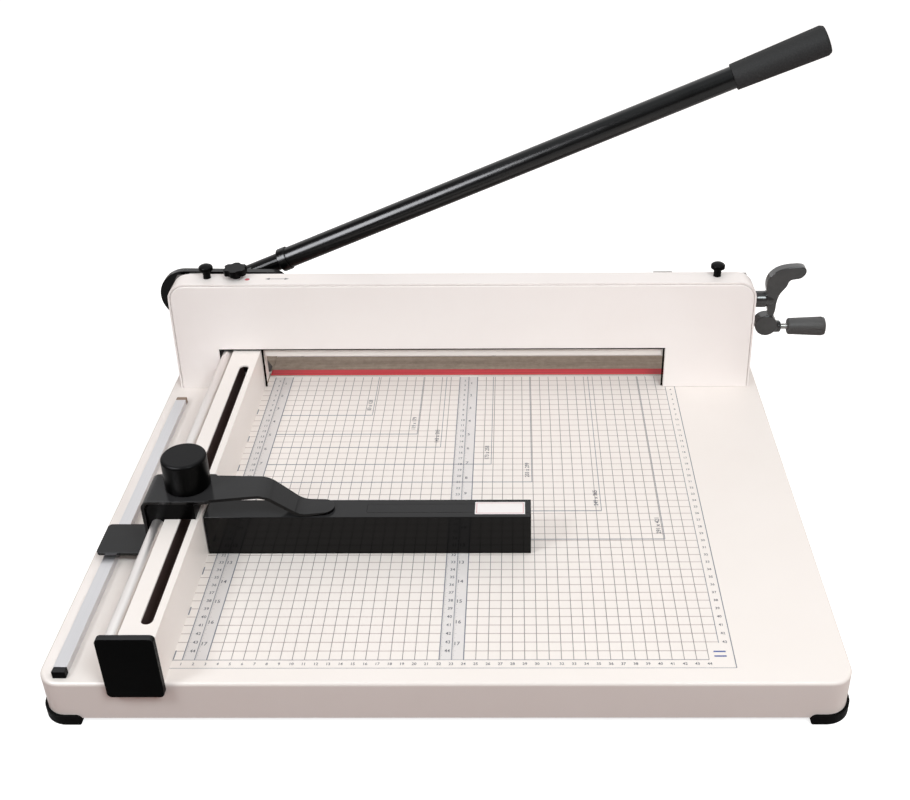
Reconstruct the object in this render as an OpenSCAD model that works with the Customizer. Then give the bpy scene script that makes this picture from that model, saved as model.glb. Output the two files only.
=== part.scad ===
// Heavy stack paper cutter: a lever drives a slanted blade carrier, a crank gears the
// paper clamp down, and a back gauge slides along a slotted side fence.
// Sizes are millimetres. X runs along the blade, Y from the front edge to the back, Z up.

/* [Base tray] */
// Width of the base tray
base_w = 658; // [593:1:728]
// Depth of the base tray, front edge to rear edge
base_d = 538; // [484:1:598]
// Height of the table above the bench
table_z = 45; // [38:1:62]
// Gap between the bench and the lower edge of the skirt
skirt_z = 6.5; // [5:0.5:8.5]
// Radius of the tray corners seen from above
base_r = 20; // [14:1:30]
// Radius of the fold between table and skirt
fold_r = 3; // [2.6:0.1:5]
// Thickness of the tray sheet
sheet_t = 2.5; // [1.5:0.1:2.5]

/* [Corner feet] */
// Length of a foot along each edge, from the corner
foot_leg = 33; // [31:1:60]
// Thickness of the foot outside the skirt
foot_lip = 2.5; // [1.5:0.1:4]
// Width of the foot inside the skirt
foot_pad = 10; // [8:0.5:14]
// Height that the foot climbs up the skirt
foot_climb = 4; // [2:0.5:8]
// Clearance between a foot and the skirt
foot_gap = 0.2; // [0.1:0.05:0.5]

/* [Housing] */
// Distance from the rear edge of the tray to the front cover
house_behind = 96; // [94:1:120]
// Depth of the housing body, front cover face to rear edge
house_depth = 31; // [31:0.5:34]
// Height of the housing above the table
house_h = 130; // [128:1:150]
// Distance from each side of the tray to the foot of the housing
house_side = 10.5; // [10:0.5:14.5]
// Distance by which each side of the housing leans in at its top
house_lean = 2.4; // [2:0.2:5]
// Radius of the housing's top corners
house_r = 19; // [14:1:28]
// Wall of the housing body
house_t = 2; // [1.5:0.1:2.5]
// Thickness of the front cover
cover_t = 3; // [2:0.1:3.5]
// Seam between the front cover and the housing body
seam_gap = 0.6; // [0.3:0.1:1]
// Height by which the front cover stands proud of the body
cover_proud = 1; // [0.5:0.1:1.5]
// Width of the ledge behind the front cover
ledge_w = 8; // [5:0.5:10]
// Height of the paper throat
throat_h = 50; // [49.5:0.5:54]
// Distance from the right side of the tray to the paper throat
throat_in = 106.5; // [102.5:0.5:128.5]
// Distance from the fence to the left edge of the throat
throat_side = 16; // [15:0.5:19]

/* [Fence, rod and rail] */
// Distance from the left side of the tray to the fence face that the paper rests against
fence_in = 105.5; // [101:0.5:109]
// Width of the fence tube
fence_w = 30; // [28:0.5:31]
// Height of the fence tube
fence_h = 48; // [44:0.5:48.5]
// Wall of the fence tube
fence_t = 2; // [1.5:0.1:2.5]
// Gap between the rear end of the fence and the cutting stick
fence_stop = 2; // [1:0.5:6]
// Width of the slot in the fence
slot_w = 10; // [8:0.5:10.5]
// Distance from the fence face to the middle of the slot
slot_in = 11.3; // [11:0.1:13]
// Front end of the slot
slot_y0 = 17; // [10:1:38]
// Distance from the front cover to the rear end of the slot
slot_short = 30; // [25:1:75]
// Thickness of the black cap on the front of the fence
cap_t = 5.5; // [4:0.5:7]
// Height by which the cap hangs below the table
cap_drop = 9; // [4:0.5:12]
// Height of the cap above the fence
cap_rise = 5.5; // [3:0.5:6]
// Diameter of the guide rod
rod_d = 11; // [9:0.5:11]
// Distance from the fence to the middle of the rod
rod_side = 6.8; // [6.6:0.1:8]
// Height of the middle of the rod above the table
rod_h = 43; // [40:0.5:43]
// Width of the scale rail
rail_w = 11; // [9.7:0.1:12.7]
// Height of the scale rail
rail_h = 7; // [6:0.5:8]
// Distance from the edge of the tray to the rail
rail_edge = 14.2; // [12.7:0.1:16.7]
// Front end of the rail
rail_y0 = 6; // [3:1:18]
// Distance from the front cover to the rear end of the rail
rail_short = 29; // [16:1:29]
// Wall of the rail tube
rail_t = 1.5; // [1:0.1:2]

/* [Back gauge] */
// Distance from the front edge of the tray to the front face of the gauge bar
gauge_y = 158; // [148:1:168]
// Length of the gauge bar
bar_len = 294; // [260:1:380]
// Depth of the gauge bar
bar_d = 25.4; // [23:0.1:30]
// Height of the gauge bar
bar_h = 42; // [38:0.5:45]
// Wall of the gauge bar
bar_t = 2.5; // [2:0.1:3]
// Gap under the gauge bar
bar_lift = 0.3; // [0.2:0.1:1]
// Thickness of the folded bracket
bracket_t = 3; // [2.5:0.1:4]
// Height of the bracket bridge above the table
bridge_h = 70; // [69:0.5:76]
// Depth of the bracket plate, front to back
bracket_d = 41; // [40:0.5:48]
// Radius of the bracket's fold beside the fence
bracket_r = 8; // [6:0.5:8.5]
// Slope of the arm that leads down to the bar
arm_slope = 40; // [38:1:45]
// Length of the arm's slope, measured level
arm_run = 45; // [44:0.5:50]
// Length of the arm's pad on the bar
arm_pad = 22; // [20:0.5:30]
// Diameter of the gauge knob
knob_d = 40; // [34:1:40]
// Height of the gauge knob
knob_h = 31.5; // [28:0.5:40]
// Diameter of the stud below the gauge knob
stud_d = 6; // [5:0.5:6]

/* [Lever] */
// Distance from the left foot of the housing to the lever pivot
pivot_in = 17.5; // [15:0.5:18]
// Height of the lever pivot above the table
pivot_h = 80.5; // [80:0.5:82]
// Radius of the lever hub's rounded end
hub_r = 30.5; // [28:0.5:31]
// Angle of the raised lever
lever_angle = 22.95; // [20:0.05:26]
// Swing of the lever from raised to lowered
lever_swing = 28; // [26:0.5:28]
// Length of the lever, pivot to the end of the grip
lever_len = 735; // [660:0.1:740]
// Start of the lever tube, from the pivot
tube_start = 105; // [100:1:120]
// Diameter of the lever tube
tube_d = 23.5; // [22:0.5:25]
// Wall of the lever tube
tube_t = 2; // [1.5:0.1:2.5]
// Length of the grip
grip_len = 100; // [90:1:130]
// Diameter of the grip where it starts
grip_d0 = 28; // [27.5:0.1:30]
// Diameter of the grip at its end
grip_d1 = 32; // [30:0.1:32]
// Diameter of the lever's pivot bolt
pivot_d = 20; // [18:0.5:22]
// Diameter of the drive pin
pin_d = 12; // [10:0.5:12]

/* [Blade and carrier] */
// Height of the raised blade edge above the stick
blade_rise = 44.3; // [44:0.1:46]
// Height of the lowered blade edge above the stick
edge_gap = 0.3; // [0.2:0.1:0.5]
// Slant of the carrier guides from upright
slice_angle = 30; // [28:0.5:30]
// Thickness of the blade
blade_t = 4; // [3:0.1:4]
// Height of the blade
blade_h = 28.5; // [24:0.5:28.5]
// Height of the blade's ground bevel
bevel_h = 9; // [6:0.5:12]
// Height of the blade below the carrier
blade_show = 9; // [7:0.5:11]
// Height of the carrier above its drive slot
carrier_cap = 16.5; // [12:0.5:17]
// Thickness of the frame plates that guide the carrier
frame_t = 12; // [11:0.5:12]
// Running clearance of the carrier
slide_gap = 0.3; // [0.2:0.05:0.4]
// Thickness of the keepers behind the carrier
keeper_t = 4; // [3:0.5:4]
// Width of the cutting stick
stick_w = 12; // [11:0.5:14]
// Depth of the cutting stick
stick_d = 8; // [6:0.5:8]

/* [Clamp and crank] */
// Gap between the raised clamp and the table
clamp_rise = 38; // [37.5:0.1:38.5]
// Height of the clamp bar
clamp_h = 30; // [26:0.5:30]
// Height of the crank shaft above the table
crank_h = 102.5; // [102:0.5:104]
// Diameter of the crank shaft and the layshaft
shaft_d = 10; // [9:0.5:10]
// Teeth on the crank gear and on the layshaft gear
gear_teeth = 20; // [20:4:20]
// Module of the crank gears
gear_m = 1; // [0.98:0.01:1.02]
// Teeth on each clamp pinion
pinion_teeth = 12; // [12:1:13]
// Module of the clamp pinions and racks
pinion_m = 1.25; // [1.2:0.01:1.25]
// Width of the gears, pinions and racks
face_w = 10; // [8:0.5:12]
// Distance from each side of the tray to a rack
rack_in = 179; // [159:1:204]
// Diameter of the collar outside the housing
collar_d = 16.5; // [15:0.5:18]
// Distance from the crank shaft to the axis of the crank grip
crank_throw = 34; // [30:0.5:34]
// Thickness of the cast crank arm
arm_t = 10; // [9:0.5:12]
// Length of the crank grip
crank_grip_len = 41; // [34:0.5:44]
// Diameter of the crank grip where it starts
crank_grip_d0 = 18; // [16:0.5:19]
// Diameter of the crank grip at its end
crank_grip_d1 = 21; // [19:0.5:22]

/* [Top screws and lock knob] */
// Distance from the end of the housing's top to the thumb screws
thumb_in = 41; // [38.5:0.5:43]
// Diameter of a thumb screw's head
thumb_d = 15; // [13:0.5:16]
// Height of a thumb screw's head
thumb_h = 7; // [6:0.5:10]
// Height of a thumb screw's neck
neck_h = 9; // [6:0.5:11]
// Distance from the left thumb screw to the lock knob
lock_side = 31.5; // [30:0.5:40]
// Diameter of the lock knob
lock_d = 25; // [22:0.5:26]

/* [Hidden] */
$fn = 64;

// Running clearance round a shaft, and the smaller gap round a fixed piece
fit = 0.05;
seat = 0.04;
// Gap left between pieces that move past each other
pass = 0.3;
// Length added to a cut so that it breaks through
over = 1;
// A slanting side is drawn this much inside the round that it runs into, so that the two cross cleanly
tuck = 0.01;

// Heights and depths that several pieces share
half_w = base_w / 2;
under_z = table_z - sheet_t;
house_w = base_w - 2 * house_side;
house_top_w = house_w - 2 * house_lean;
house_top = table_z + house_h;
house_y = base_d - house_behind;
house_back = house_y + house_depth;
hoop_short = 4.5;
hoop_back = house_back - hoop_short;
cover_back = house_y + cover_t;
body_y0 = house_y + cover_proud;
cover_in = house_t + seam_gap;
ledge_in = house_t + ledge_w;
fence_face_x = fence_in - half_w;
throat_x0 = fence_face_x - fence_w - throat_side;
throat_x1 = half_w - throat_in;

// Crank gears and layshaft
gear_r = gear_m * gear_teeth / 2;
gear_tip = gear_r + gear_m;
gear_space = 2;
crank_y = cover_back + gear_tip + gear_space;
crank_z = table_z + crank_h;
lay_z = crank_z - 2 * gear_r;
pinion_r = pinion_m * pinion_teeth / 2;
pressure = 20;
backlash = 0.08;

// Frame plates, guide plate and keepers, from front to back
guide_t = 5;
frame_side_gap = 2;
frame_out = house_top_w / 2 - house_t - frame_side_gap;
web_in = frame_out - frame_t;
frame_y = house_back + blade_t;
frame_back = frame_y + frame_t;
guide_y = frame_y - guide_t;
keeper_back = frame_back + keeper_t;
right_foot = 24;
frame_side = 15;

// Lever and its drive pin
pivot_x = pivot_in - house_w / 2;
pivot_z = table_z + pivot_h;
hub_gap = 2;
hub_y = keeper_back + hub_gap;
hub_plate = 8;
hub_shift = 9.2;
hub_end = [pivot_x - hub_shift, pivot_z + hub_shift];
grip_pass = 2;
lever_y = crank_y + crank_throw + crank_grip_d1 / 2 + grip_d1 / 2 + grip_pass;
hub_back = lever_y + tube_d / 2;
hub_boss_r = 24;
bush_t = 3;
pin_boss_r = 16;
shank_r = tube_d / 2 - tube_t - 3 * fit;
shank_lap = 45;
shank_end = tube_start + shank_lap;
collar_len = 10;
collar_lip = 1.5;
collar_back = 2;
bolt_step_in = 4;
bolt_thread_d = pivot_d - bolt_step_in;
bolt_reach = frame_t - over;
bolt_head_r = pivot_d / 2 + bolt_step_in;
bolt_head_h = 5;

// Blade travel: the carrier slides down its slanted guides
slant = tan(slice_angle);
stroke = blade_rise - edge_gap;
slice_run = stroke * slant;
drive_r = stroke / (2 * sin(lever_swing / 2));
pin_x = pivot_x + drive_r * cos(lever_swing / 2);
pin_z = pivot_z + drive_r * sin(lever_swing / 2);
carrier_x0 = fence_face_x - fit;
carrier_x1 = frame_out - right_foot;
carrier_y = frame_y + slide_gap;
carrier_t = frame_t - 2 * slide_gap;
edge_z = table_z + blade_rise;
carrier_z0 = edge_z + blade_show;
carrier_z1 = pin_z + carrier_cap;
gib_shift = slide_gap / cos(slice_angle);
keeper_out = 10;
keeper_in = 8;
blade_y = carrier_y - blade_t;
blade_lap = 1;
blade_past = 10;
blade_x0 = fence_face_x - slice_run - blade_lap;
blade_x1 = throat_x1 - slice_run + blade_past;
blade_top = edge_z + blade_h;
bolt_up = 9;
bolt_z = carrier_z0 + bolt_up;
blade_bolt_r = 4;
blade_bolt_in = 40;
bolt_head = 4;
bolt_count = 5;
guide_gap = 2;
guide_top_gap = 3;
guide_z0 = blade_top + guide_gap;
guide_z1 = house_top - house_t - guide_top_gap;
slot_half = pin_d / 2 + pass;
slot_end = 1;

// Stick and bed
stick_y0 = blade_y + blade_t / 2 - stick_w / 2;
stick_gap = 0.1;
bed_lip = 1.3;
bed_y0 = stick_y0 - bed_lip;
bed_behind = 17;
bed_y1 = keeper_back + bed_behind;
bed_x0 = carrier_x0 + over;
bed_x1 = carrier_x1 - over;
bed_under = 10;
bed_shoulder = 10;
bed_gap = 0.2;
bed_floor = 2;
bed_screw_r = 2.5;
bed_screw_head = 4;
bed_screw_in = 30;
bed_screw_x = [bed_x0 + bed_screw_in, (bed_x0 + bed_x1) / 2, bed_x1 - bed_screw_in];

// Clamp
clamp_gap = 2.5;
clamp_x0 = fence_face_x + clamp_gap;
clamp_x1 = throat_x1 - clamp_gap;
rack_x = half_w - rack_in;
clamp_z0 = table_z + clamp_rise;
clamp_y0 = cover_back + clamp_gap;
rack_gap = 1.6;
rack_back = guide_y - rack_gap;
rack_pitch_y = crank_y + pinion_r;
rack_addendum = 0.7 * pinion_m;
rack_dedendum = 1.25 * pinion_m;
clamp_foot = 8;
clamp_web = 6;
rack_z0 = clamp_z0 + clamp_foot;
rack_z1 = guide_z1 - guide_gap;
rack_step = PI * pinion_m;
rack_guide_w = 8;

// Screws through the top of the housing
thumb_back = 2;
thumb_y = crank_y + thumb_back;
thumb_x = house_top_w / 2 - thumb_in;
thumb_shank_r = 4;
lock_x = lock_side - thumb_x;
lug_w = 17;
lug_h = 18;
lug_front = 9;
lug_y0 = thumb_y - lug_front;
screw_reach = 20;

// Fence, rod and rail
fence_x0 = fence_face_x - fence_w;
fence_top = table_z + fence_h;
fence_y1 = stick_y0 - fence_stop;
slot_x = fence_face_x - slot_in;
slot_y1 = house_y - slot_short;
rod_x = fence_x0 - rod_side;
rod_z = table_z + rod_h;
rod_side_wall = 12;
bracket_y = cover_back + 2 * pass + house_t;
bracket_len = 12;
rail_x0 = rail_edge - half_w;
rail_y1 = house_y - rail_short;
rail_top = table_z + rail_h;
plug_len = 6;

// Back gauge
bar_gap = 1;
bar_x0 = fence_face_x + bar_gap;
bar_x1 = bar_x0 + bar_len;
bar_z0 = table_z + bar_lift;
bar_z1 = bar_z0 + bar_h;
strip_d = 12;
strip_t = 0.8;
strip_start = 146;
knob_back = 13;
knob_y = gauge_y + knob_back;
bridge_z = table_z + bridge_h;
bridge_under = bridge_z - bracket_t;
bracket_front = 13;
bracket_y0 = gauge_y - bracket_front;
bracket_y1 = bracket_y0 + bracket_d;
shoe_lift = 0.3;
shoe_t = 2.2;
tab_z = rail_top + shoe_lift + shoe_t;
tab_past = 6;
tab_x0 = rail_x0 - tab_past;
slider_wall = 2.5;
slider_r = rod_d / 2 + slider_wall;
slider_gap = 0.4;
leg_x = rod_x - slider_r - slider_gap - bracket_t;
bridge_len = 62;
arm_start = slot_x + bridge_len;
arm_drop = bridge_z - bracket_t - bar_z1;
bend_r = (arm_run * tan(arm_slope) - arm_drop) * cos(arm_slope) / (2 * (1 - cos(arm_slope)));
slope_len = (arm_run - 2 * bend_r * sin(arm_slope)) / cos(arm_slope);
pad_x = arm_start + arm_run;
slider_lap = 0.4;
slider_end = 3;
slider_past = 9;
slider_cut = bracket_r - bracket_t + over;
nut_h = 8;
nut_half = 8;

// Crank arm, measured from the outer end of its collar
side_x = house_w / 2 - house_lean * crank_h / house_h;
collar_gap = 2.4;
collar_out = 16.5;
arm_x = side_x + collar_out;
neck_end = 24;
neck_gap = 3;
grip_x0 = arm_x + neck_end;
grip_x1 = grip_x0 + crank_grip_len;
grip_z = crank_z - crank_throw;
neck_r = 6;
spindle_r = 3;
gear_gap = 1;
gear_x = web_in - gear_gap - face_w;
shaft_in_arm = 3;

// The origin is in the middle of the footprint of the whole machine, on the bench
origin = [(hub_end[0] - hub_r + grip_x1) / 2, (base_d + foot_lip - cap_t) / 2, 0];

cream = [0.93, 0.89, 0.86];
black = [0.08, 0.08, 0.09];
dark = [0.2, 0.2, 0.21];
steel = [0.62, 0.6, 0.58];
bright = [0.78, 0.78, 0.8];
bronze = [0.7, 0.5, 0.28];
red = [0.7, 0.25, 0.27];
brown = [0.45, 0.36, 0.3];

function along(a, r) = [r * cos(a), r * sin(a)];
function left_edge(z) = carrier_x0 - (z - table_z) * slant;
function right_edge(z) = carrier_x1 - (z - table_z) * slant;

// Everything is drawn from the front edge of the tray and then set on the origin
module placed() translate(-origin) children();

// A profile in X and Z, given depth from y0 towards the back
module from_front(y0, depth)
  translate([0, y0 + depth, 0]) rotate([90, 0, 0]) linear_extrude(depth) children();

// A profile in Y and Z, given length from x0 to the right
module from_left(x0, length) translate([x0, 0, 0]) rotate([90, 0, 90]) linear_extrude(length) children();

module rod_x(x0, length, r) translate([x0, 0, 0]) rotate([0, 90, 0]) cylinder(r = r, h = length);
module rod_y(y0, length, r) translate([0, y0, 0]) rotate([-90, 0, 0]) cylinder(r = r, h = length);

// Rectangle with round corners, from its lower left corner
module round_rect(w, h, r) {
  translate([r, 0]) square([w - 2 * r, h]);
  translate([0, r]) square([w, h - 2 * r]);
  for (x = [r, w - r], y = [r, h - r]) translate([x, y]) circle(r);
}

// Two circles joined by their outer tangents
module link(p, rp, q, rq) {
  v = q - p;
  base = atan2(v[1], v[0]);
  phi = acos((rp - rq) / norm(v));
  polygon([
    p + along(base + phi, rp - tuck), p + along(base - phi, rp - tuck),
    q + along(base - phi, rq - tuck), q + along(base + phi, rq - tuck)
  ]);
  translate(p) circle(rp);
  translate(q) circle(rq);
}

// Front outline of the housing, drawn in from its edge and down past the table by drop
module house_outline(inset, r, drop = 0) {
  lean = atan(house_lean / house_h);
  foot = house_w / 2 - inset / cos(lean) + drop * tan(lean);
  z0 = table_z - drop;
  top = house_top - inset;
  zc = top - r;
  xc = foot - (zc - z0) * tan(lean) - r / cos(lean);
  tip = [xc, zc] + along(lean, r - tuck);
  polygon([[-foot, z0], [foot, z0], tip, [xc, top], [-xc, top], [-tip[0], tip[1]]]);
  for (side = [-1, 1]) translate([side * xc, zc]) circle(r);
}

// Involute gear profile, with a tooth on its first axis
function involute(a) = tan(a) * 180 / PI - a;
function tooth_half(n, m, rho) =
  let (r = n * m / 2, base = r * cos(pressure))
  90 / n - backlash / r * 90 / PI + involute(pressure) - involute(acos(min(1, base / max(rho, base))));
module gear_profile(n, m) {
  r = n * m / 2;
  root = r - 1.25 * m;
  tip = r + m;
  flank = max(root, r * cos(pressure));
  steps = [for (i = [0:3]) flank + (tip - flank) * i / 3];
  polygon([
    for (k = [0:n - 1])
      let (mid = 360 / n * k)
      each concat(
        [along(mid - tooth_half(n, m, flank), root)],
        [for (rho = steps) along(mid - tooth_half(n, m, rho), rho)],
        [for (i = [3:-1:0]) along(mid + tooth_half(n, m, steps[i]), steps[i])],
        [along(mid + tooth_half(n, m, flank), root)]
      )
  ]);
}

// Section of the tray's skirt and fold; its outer face is at zero
module skirt_section() {
  difference() {
    union() {
      translate([-base_r, skirt_z]) square([base_r, table_z - fold_r - skirt_z]);
      translate([-base_r, skirt_z]) square([base_r - fold_r, table_z - skirt_z]);
      translate([-fold_r, table_z - fold_r]) circle(fold_r);
    }
    translate([-base_r - over, skirt_z - over]) square([base_r + over - sheet_t, under_z - skirt_z + over]);
  }
}

// Corners of the tray: side, end and the quarter turn that its bend takes
corners = [[-1, 0, 180], [1, 0, 270], [-1, 1, 90], [1, 1, 0]];
module at_corner(c)
  translate([c[0] * (half_w - base_r), base_r + c[1] * (base_d - 2 * base_r), 0]) rotate(c[2]) children();

// Places of the screws that come up through the table
web_mid = (web_in + frame_out) / 2;
web_y0 = crank_y - gear_tip;
bolt_side = 20;
bolt_front = 7;
frame_bolt_at = [
  [carrier_x0 - bolt_side, frame_y + frame_t / 2], [web_mid, frame_y + frame_t / 2],
  [-web_mid, web_y0 + bolt_front], [web_mid, web_y0 + bolt_front]
];
frame_bolt_r = 4;
frame_bolt_up = 17;
frame_bolt_head = 5.5;
hex_r = 1.6 * frame_bolt_r;
fence_mid = fence_face_x - fence_w / 2;
fence_screw_in = 40;
rail_screw_in = 30;
rail_mid = rail_x0 + rail_w / 2;
bracket_mid = [rod_x - rod_side_wall / 2, bracket_y + bracket_len / 2];
table_screw_at = [
  [fence_mid, fence_screw_in], [fence_mid, fence_y1 / 2], [fence_mid, fence_y1 - fence_screw_in],
  [rail_mid, rail_y0 + rail_screw_in], [rail_mid, rail_y1 - rail_screw_in], bracket_mid
];
table_screw_r = 2;
table_screw_head = 3;
table_screw_up = 3;
module at_all(places) for (p = places) translate([p[0], p[1], 0]) children();
module bore_up(z, r, h) translate([0, 0, z - over]) cylinder(r = r, h = h + over);

module base_tray() color(cream) placed() difference() {
  union() {
    for (c = corners) at_corner(c) rotate_extrude(angle = 90) translate([base_r, 0]) skirt_section();
    for (side = [0, 1]) mirror([side, 0, 0])
      translate([half_w, base_d - base_r, 0]) rotate([90, 0, 0])
        linear_extrude(base_d - 2 * base_r) skirt_section();
    for (end = [0, 1]) translate([0, end * base_d, 0]) mirror([0, end, 0])
      translate([half_w - base_r, 0, 0]) rotate([90, 0, -90])
        linear_extrude(base_w - 2 * base_r) skirt_section();
    translate([base_r - half_w, base_r, under_z]) cube([base_w - 2 * base_r, base_d - 2 * base_r, sheet_t]);
  }
  translate([bed_x0 - bed_gap, bed_y0 - bed_gap, under_z - over])
    cube([bed_x1 - bed_x0 + 2 * bed_gap, bed_y1 - bed_y0 + 2 * bed_gap, sheet_t + 2 * over]);
  at_all(frame_bolt_at) bore_up(under_z, frame_bolt_r + pass, sheet_t + over);
  at_all(table_screw_at) bore_up(under_z, table_screw_r + pass, sheet_t + over);
  for (x = bed_screw_x) translate([x, bed_y1 + bed_shoulder / 2, 0]) bed_screw(pass);
}

// A foot grips the skirt from both sides and turns the corner
module foot_section() {
  chamfer = foot_lip / 2;
  polygon([
    [-foot_pad, 0], [foot_lip - chamfer, 0], [foot_lip, chamfer], [foot_lip, skirt_z + foot_climb],
    [foot_gap, skirt_z + foot_climb], [foot_gap, skirt_z], [-sheet_t - foot_gap, skirt_z],
    [-sheet_t - foot_gap, skirt_z + foot_climb], [-foot_pad, skirt_z + foot_climb]
  ]);
}
module round_end() {
  end_r = (skirt_z + foot_climb) / 2;
  translate([base_r - foot_leg + end_r, 0]) {
    square([foot_leg, 2 * end_r]);
    translate([0, end_r]) circle(end_r);
  }
}
module corner_foot(c) color(black) placed() at_corner(c) {
  leg = foot_leg - base_r;
  rotate_extrude(angle = 90) translate([base_r, 0]) foot_section();
  intersection() {
    translate([base_r, 0, 0]) rotate([90, 0, 0]) linear_extrude(leg) foot_section();
    from_left(0, 2 * base_r) round_end();
  }
  intersection() {
    translate([-leg, base_r, 0]) rotate([90, 0, 90]) linear_extrude(leg) foot_section();
    from_front(0, 2 * base_r) round_end();
  }
}
module foot_front_left() corner_foot(corners[0]);
module foot_front_right() corner_foot(corners[1]);
module foot_rear_left() corner_foot(corners[2]);
module foot_rear_right() corner_foot(corners[3]);

// Countersunk screw with its head flush with the table
module bed_screw(gap) {
  translate([0, 0, under_z]) cylinder(r1 = bed_screw_r + gap, r2 = bed_screw_head + gap, h = sheet_t);
  translate([0, 0, under_z - bed_under + bed_floor]) cylinder(r = bed_screw_r + gap, h = bed_under);
}
module bed_screws() color(steel) placed()
  for (x = bed_screw_x) translate([x, bed_y1 + bed_shoulder / 2, 0]) bed_screw(0);

// Bed bar: its top fills the cut in the table, and its shoulders lie under the sheet
module bed_bar() color(steel) placed() difference() {
  union() {
    translate([bed_x0, bed_y0, under_z]) cube([bed_x1 - bed_x0, bed_y1 - bed_y0, sheet_t]);
    translate([bed_x0 - bed_shoulder, bed_y0 - bed_shoulder, under_z - bed_under])
      cube([bed_x1 - bed_x0 + 2 * bed_shoulder, bed_y1 - bed_y0 + 2 * bed_shoulder, bed_under]);
  }
  translate([bed_x0, stick_y0 - stick_gap, table_z - stick_d])
    cube([bed_x1 - bed_x0, stick_w + 2 * stick_gap, stick_d + over]);
  for (x = bed_screw_x) translate([x, bed_y1 + bed_shoulder / 2, under_z - bed_under + bed_floor])
    cylinder(r = bed_screw_r + seat, h = bed_under);
}

module cutting_stick() color(red) placed()
  translate([bed_x0 + stick_gap, stick_y0, table_z - stick_d])
    cube([bed_x1 - bed_x0 - 2 * stick_gap, stick_w, stick_d]);

// Screw places along a keeper, as heights
keeper_foot = 14;
keeper_z0 = table_z + keeper_foot;
keeper_screw_z = [for (k = [1, 3, 5]) keeper_z0 + (carrier_z1 - keeper_z0) * k / 6];
keeper_screw_r = 2.5;
keeper_screw_in = 9;
keeper_mid = keeper_out / 2 / cos(slice_angle);
module keeper_screw(gap) {
  rod_y(frame_back - keeper_screw_in, keeper_screw_in + keeper_t, keeper_screw_r + gap);
  translate([0, keeper_back - keeper_screw_r, 0]) rotate([-90, 0, 0])
    cylinder(r1 = keeper_screw_r + gap, r2 = 2 * keeper_screw_r + gap, h = keeper_screw_r);
}
module keeper_screw_bore()
  rod_y(frame_back - keeper_screw_in - over, keeper_screw_in + 2 * over, keeper_screw_r + seat);
module at_left_keeper() for (z = keeper_screw_z) translate([left_edge(z) - keeper_mid, 0, z]) children();
module at_right_keeper() for (z = keeper_screw_z) translate([right_edge(z) + keeper_mid, 0, z]) children();

// Side web that carries the shaft bushes, drawn on the right
bush_wall = 2;
bush_r = shaft_d / 2 + bush_wall;
module frame_web()
  translate([web_in, web_y0, table_z]) cube([frame_t, frame_y - web_y0, carrier_z1 - table_z]);
module bush_bore(z)
  translate([0, crank_y, z]) rod_x(-frame_out - over, 2 * (frame_out + over), bush_r + seat);
module frame_bolt_bores() at_all(frame_bolt_at) bore_up(table_z, frame_bolt_r + seat, frame_bolt_up + over);

module left_frame() color(steel) placed() difference() {
  union() {
    from_front(frame_y, frame_t) polygon([
      [pivot_x - frame_side, table_z], [left_edge(table_z) - gib_shift, table_z],
      [left_edge(carrier_z1) - gib_shift, carrier_z1], [pivot_x - frame_side, carrier_z1]
    ]);
    mirror([1, 0, 0]) frame_web();
  }
  bush_bore(lay_z);
  frame_bolt_bores();
  at_left_keeper() keeper_screw_bore();
  translate([pivot_x, 0, pivot_z])
    rod_y(frame_back - bolt_reach, bolt_reach + over, bolt_thread_d / 2 + seat);
}

module right_frame() color(steel) placed() difference() {
  union() {
    from_front(frame_y, frame_t) polygon([
      [right_edge(table_z) + gib_shift, table_z], [frame_out, table_z],
      [frame_out, carrier_z1], [right_edge(carrier_z1) + gib_shift, carrier_z1]
    ]);
    frame_web();
  }
  bush_bore(lay_z);
  bush_bore(crank_z);
  frame_bolt_bores();
  at_right_keeper() keeper_screw_bore();
}

// Plate that ties the frames together and carries the front of the carrier
module guide_plate() color(steel) placed()
  translate([-web_in, guide_y, guide_z0]) cube([2 * web_in, guide_t, guide_z1 - guide_z0]);

// Slanted keepers lap the carrier's ends from behind
function keeper_outline(edge_low, edge_high, x0, x1) = [
  [edge_low + x0, keeper_z0], [edge_low + x1, keeper_z0],
  [edge_high + x1, carrier_z1], [edge_high + x0, carrier_z1]
];
keeper_near = keeper_in / cos(slice_angle);
keeper_far = keeper_out / cos(slice_angle);
module left_keeper() color(steel) placed() difference() {
  from_front(frame_back, keeper_t)
    polygon(keeper_outline(left_edge(keeper_z0), left_edge(carrier_z1), -keeper_far, keeper_near));
  at_left_keeper() keeper_screw(seat);
}
module right_keeper() color(steel) placed() difference() {
  from_front(frame_back, keeper_t)
    polygon(keeper_outline(right_edge(keeper_z0), right_edge(carrier_z1), -keeper_near, keeper_far));
  at_right_keeper() keeper_screw(seat);
}
module keeper_screws() color(dark) placed() {
  at_left_keeper() keeper_screw(0);
  at_right_keeper() keeper_screw(0);
}

module frame_bolts() color(dark) placed() at_all(frame_bolt_at) {
  translate([0, 0, under_z - frame_bolt_head]) cylinder(r = hex_r, h = frame_bolt_head, $fn = 6);
  translate([0, 0, under_z - over]) cylinder(r = frame_bolt_r, h = sheet_t + over + frame_bolt_up);
}

// Hoop of the housing, with the ledge that the front cover lies against
module housing_body() color(cream) placed() difference() {
  union() {
    from_front(body_y0, hoop_back - body_y0) difference() {
      house_outline(0, house_r);
      house_outline(house_t, house_r - house_t, over);
    }
    from_front(cover_back, house_t) difference() {
      house_outline(house_t / 2, house_r - house_t / 2);
      house_outline(ledge_in, house_r - ledge_in, over);
    }
  }
  for (x = [-thumb_x, lock_x, thumb_x]) translate([x, thumb_y, house_top - house_t - over])
    cylinder(r = thumb_shank_r + pass, h = house_t + 2 * over);
  translate([0, crank_y, crank_z]) rod_x(side_x - 3 * house_t, 4 * house_t, shaft_d / 2 + over);
}

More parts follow.
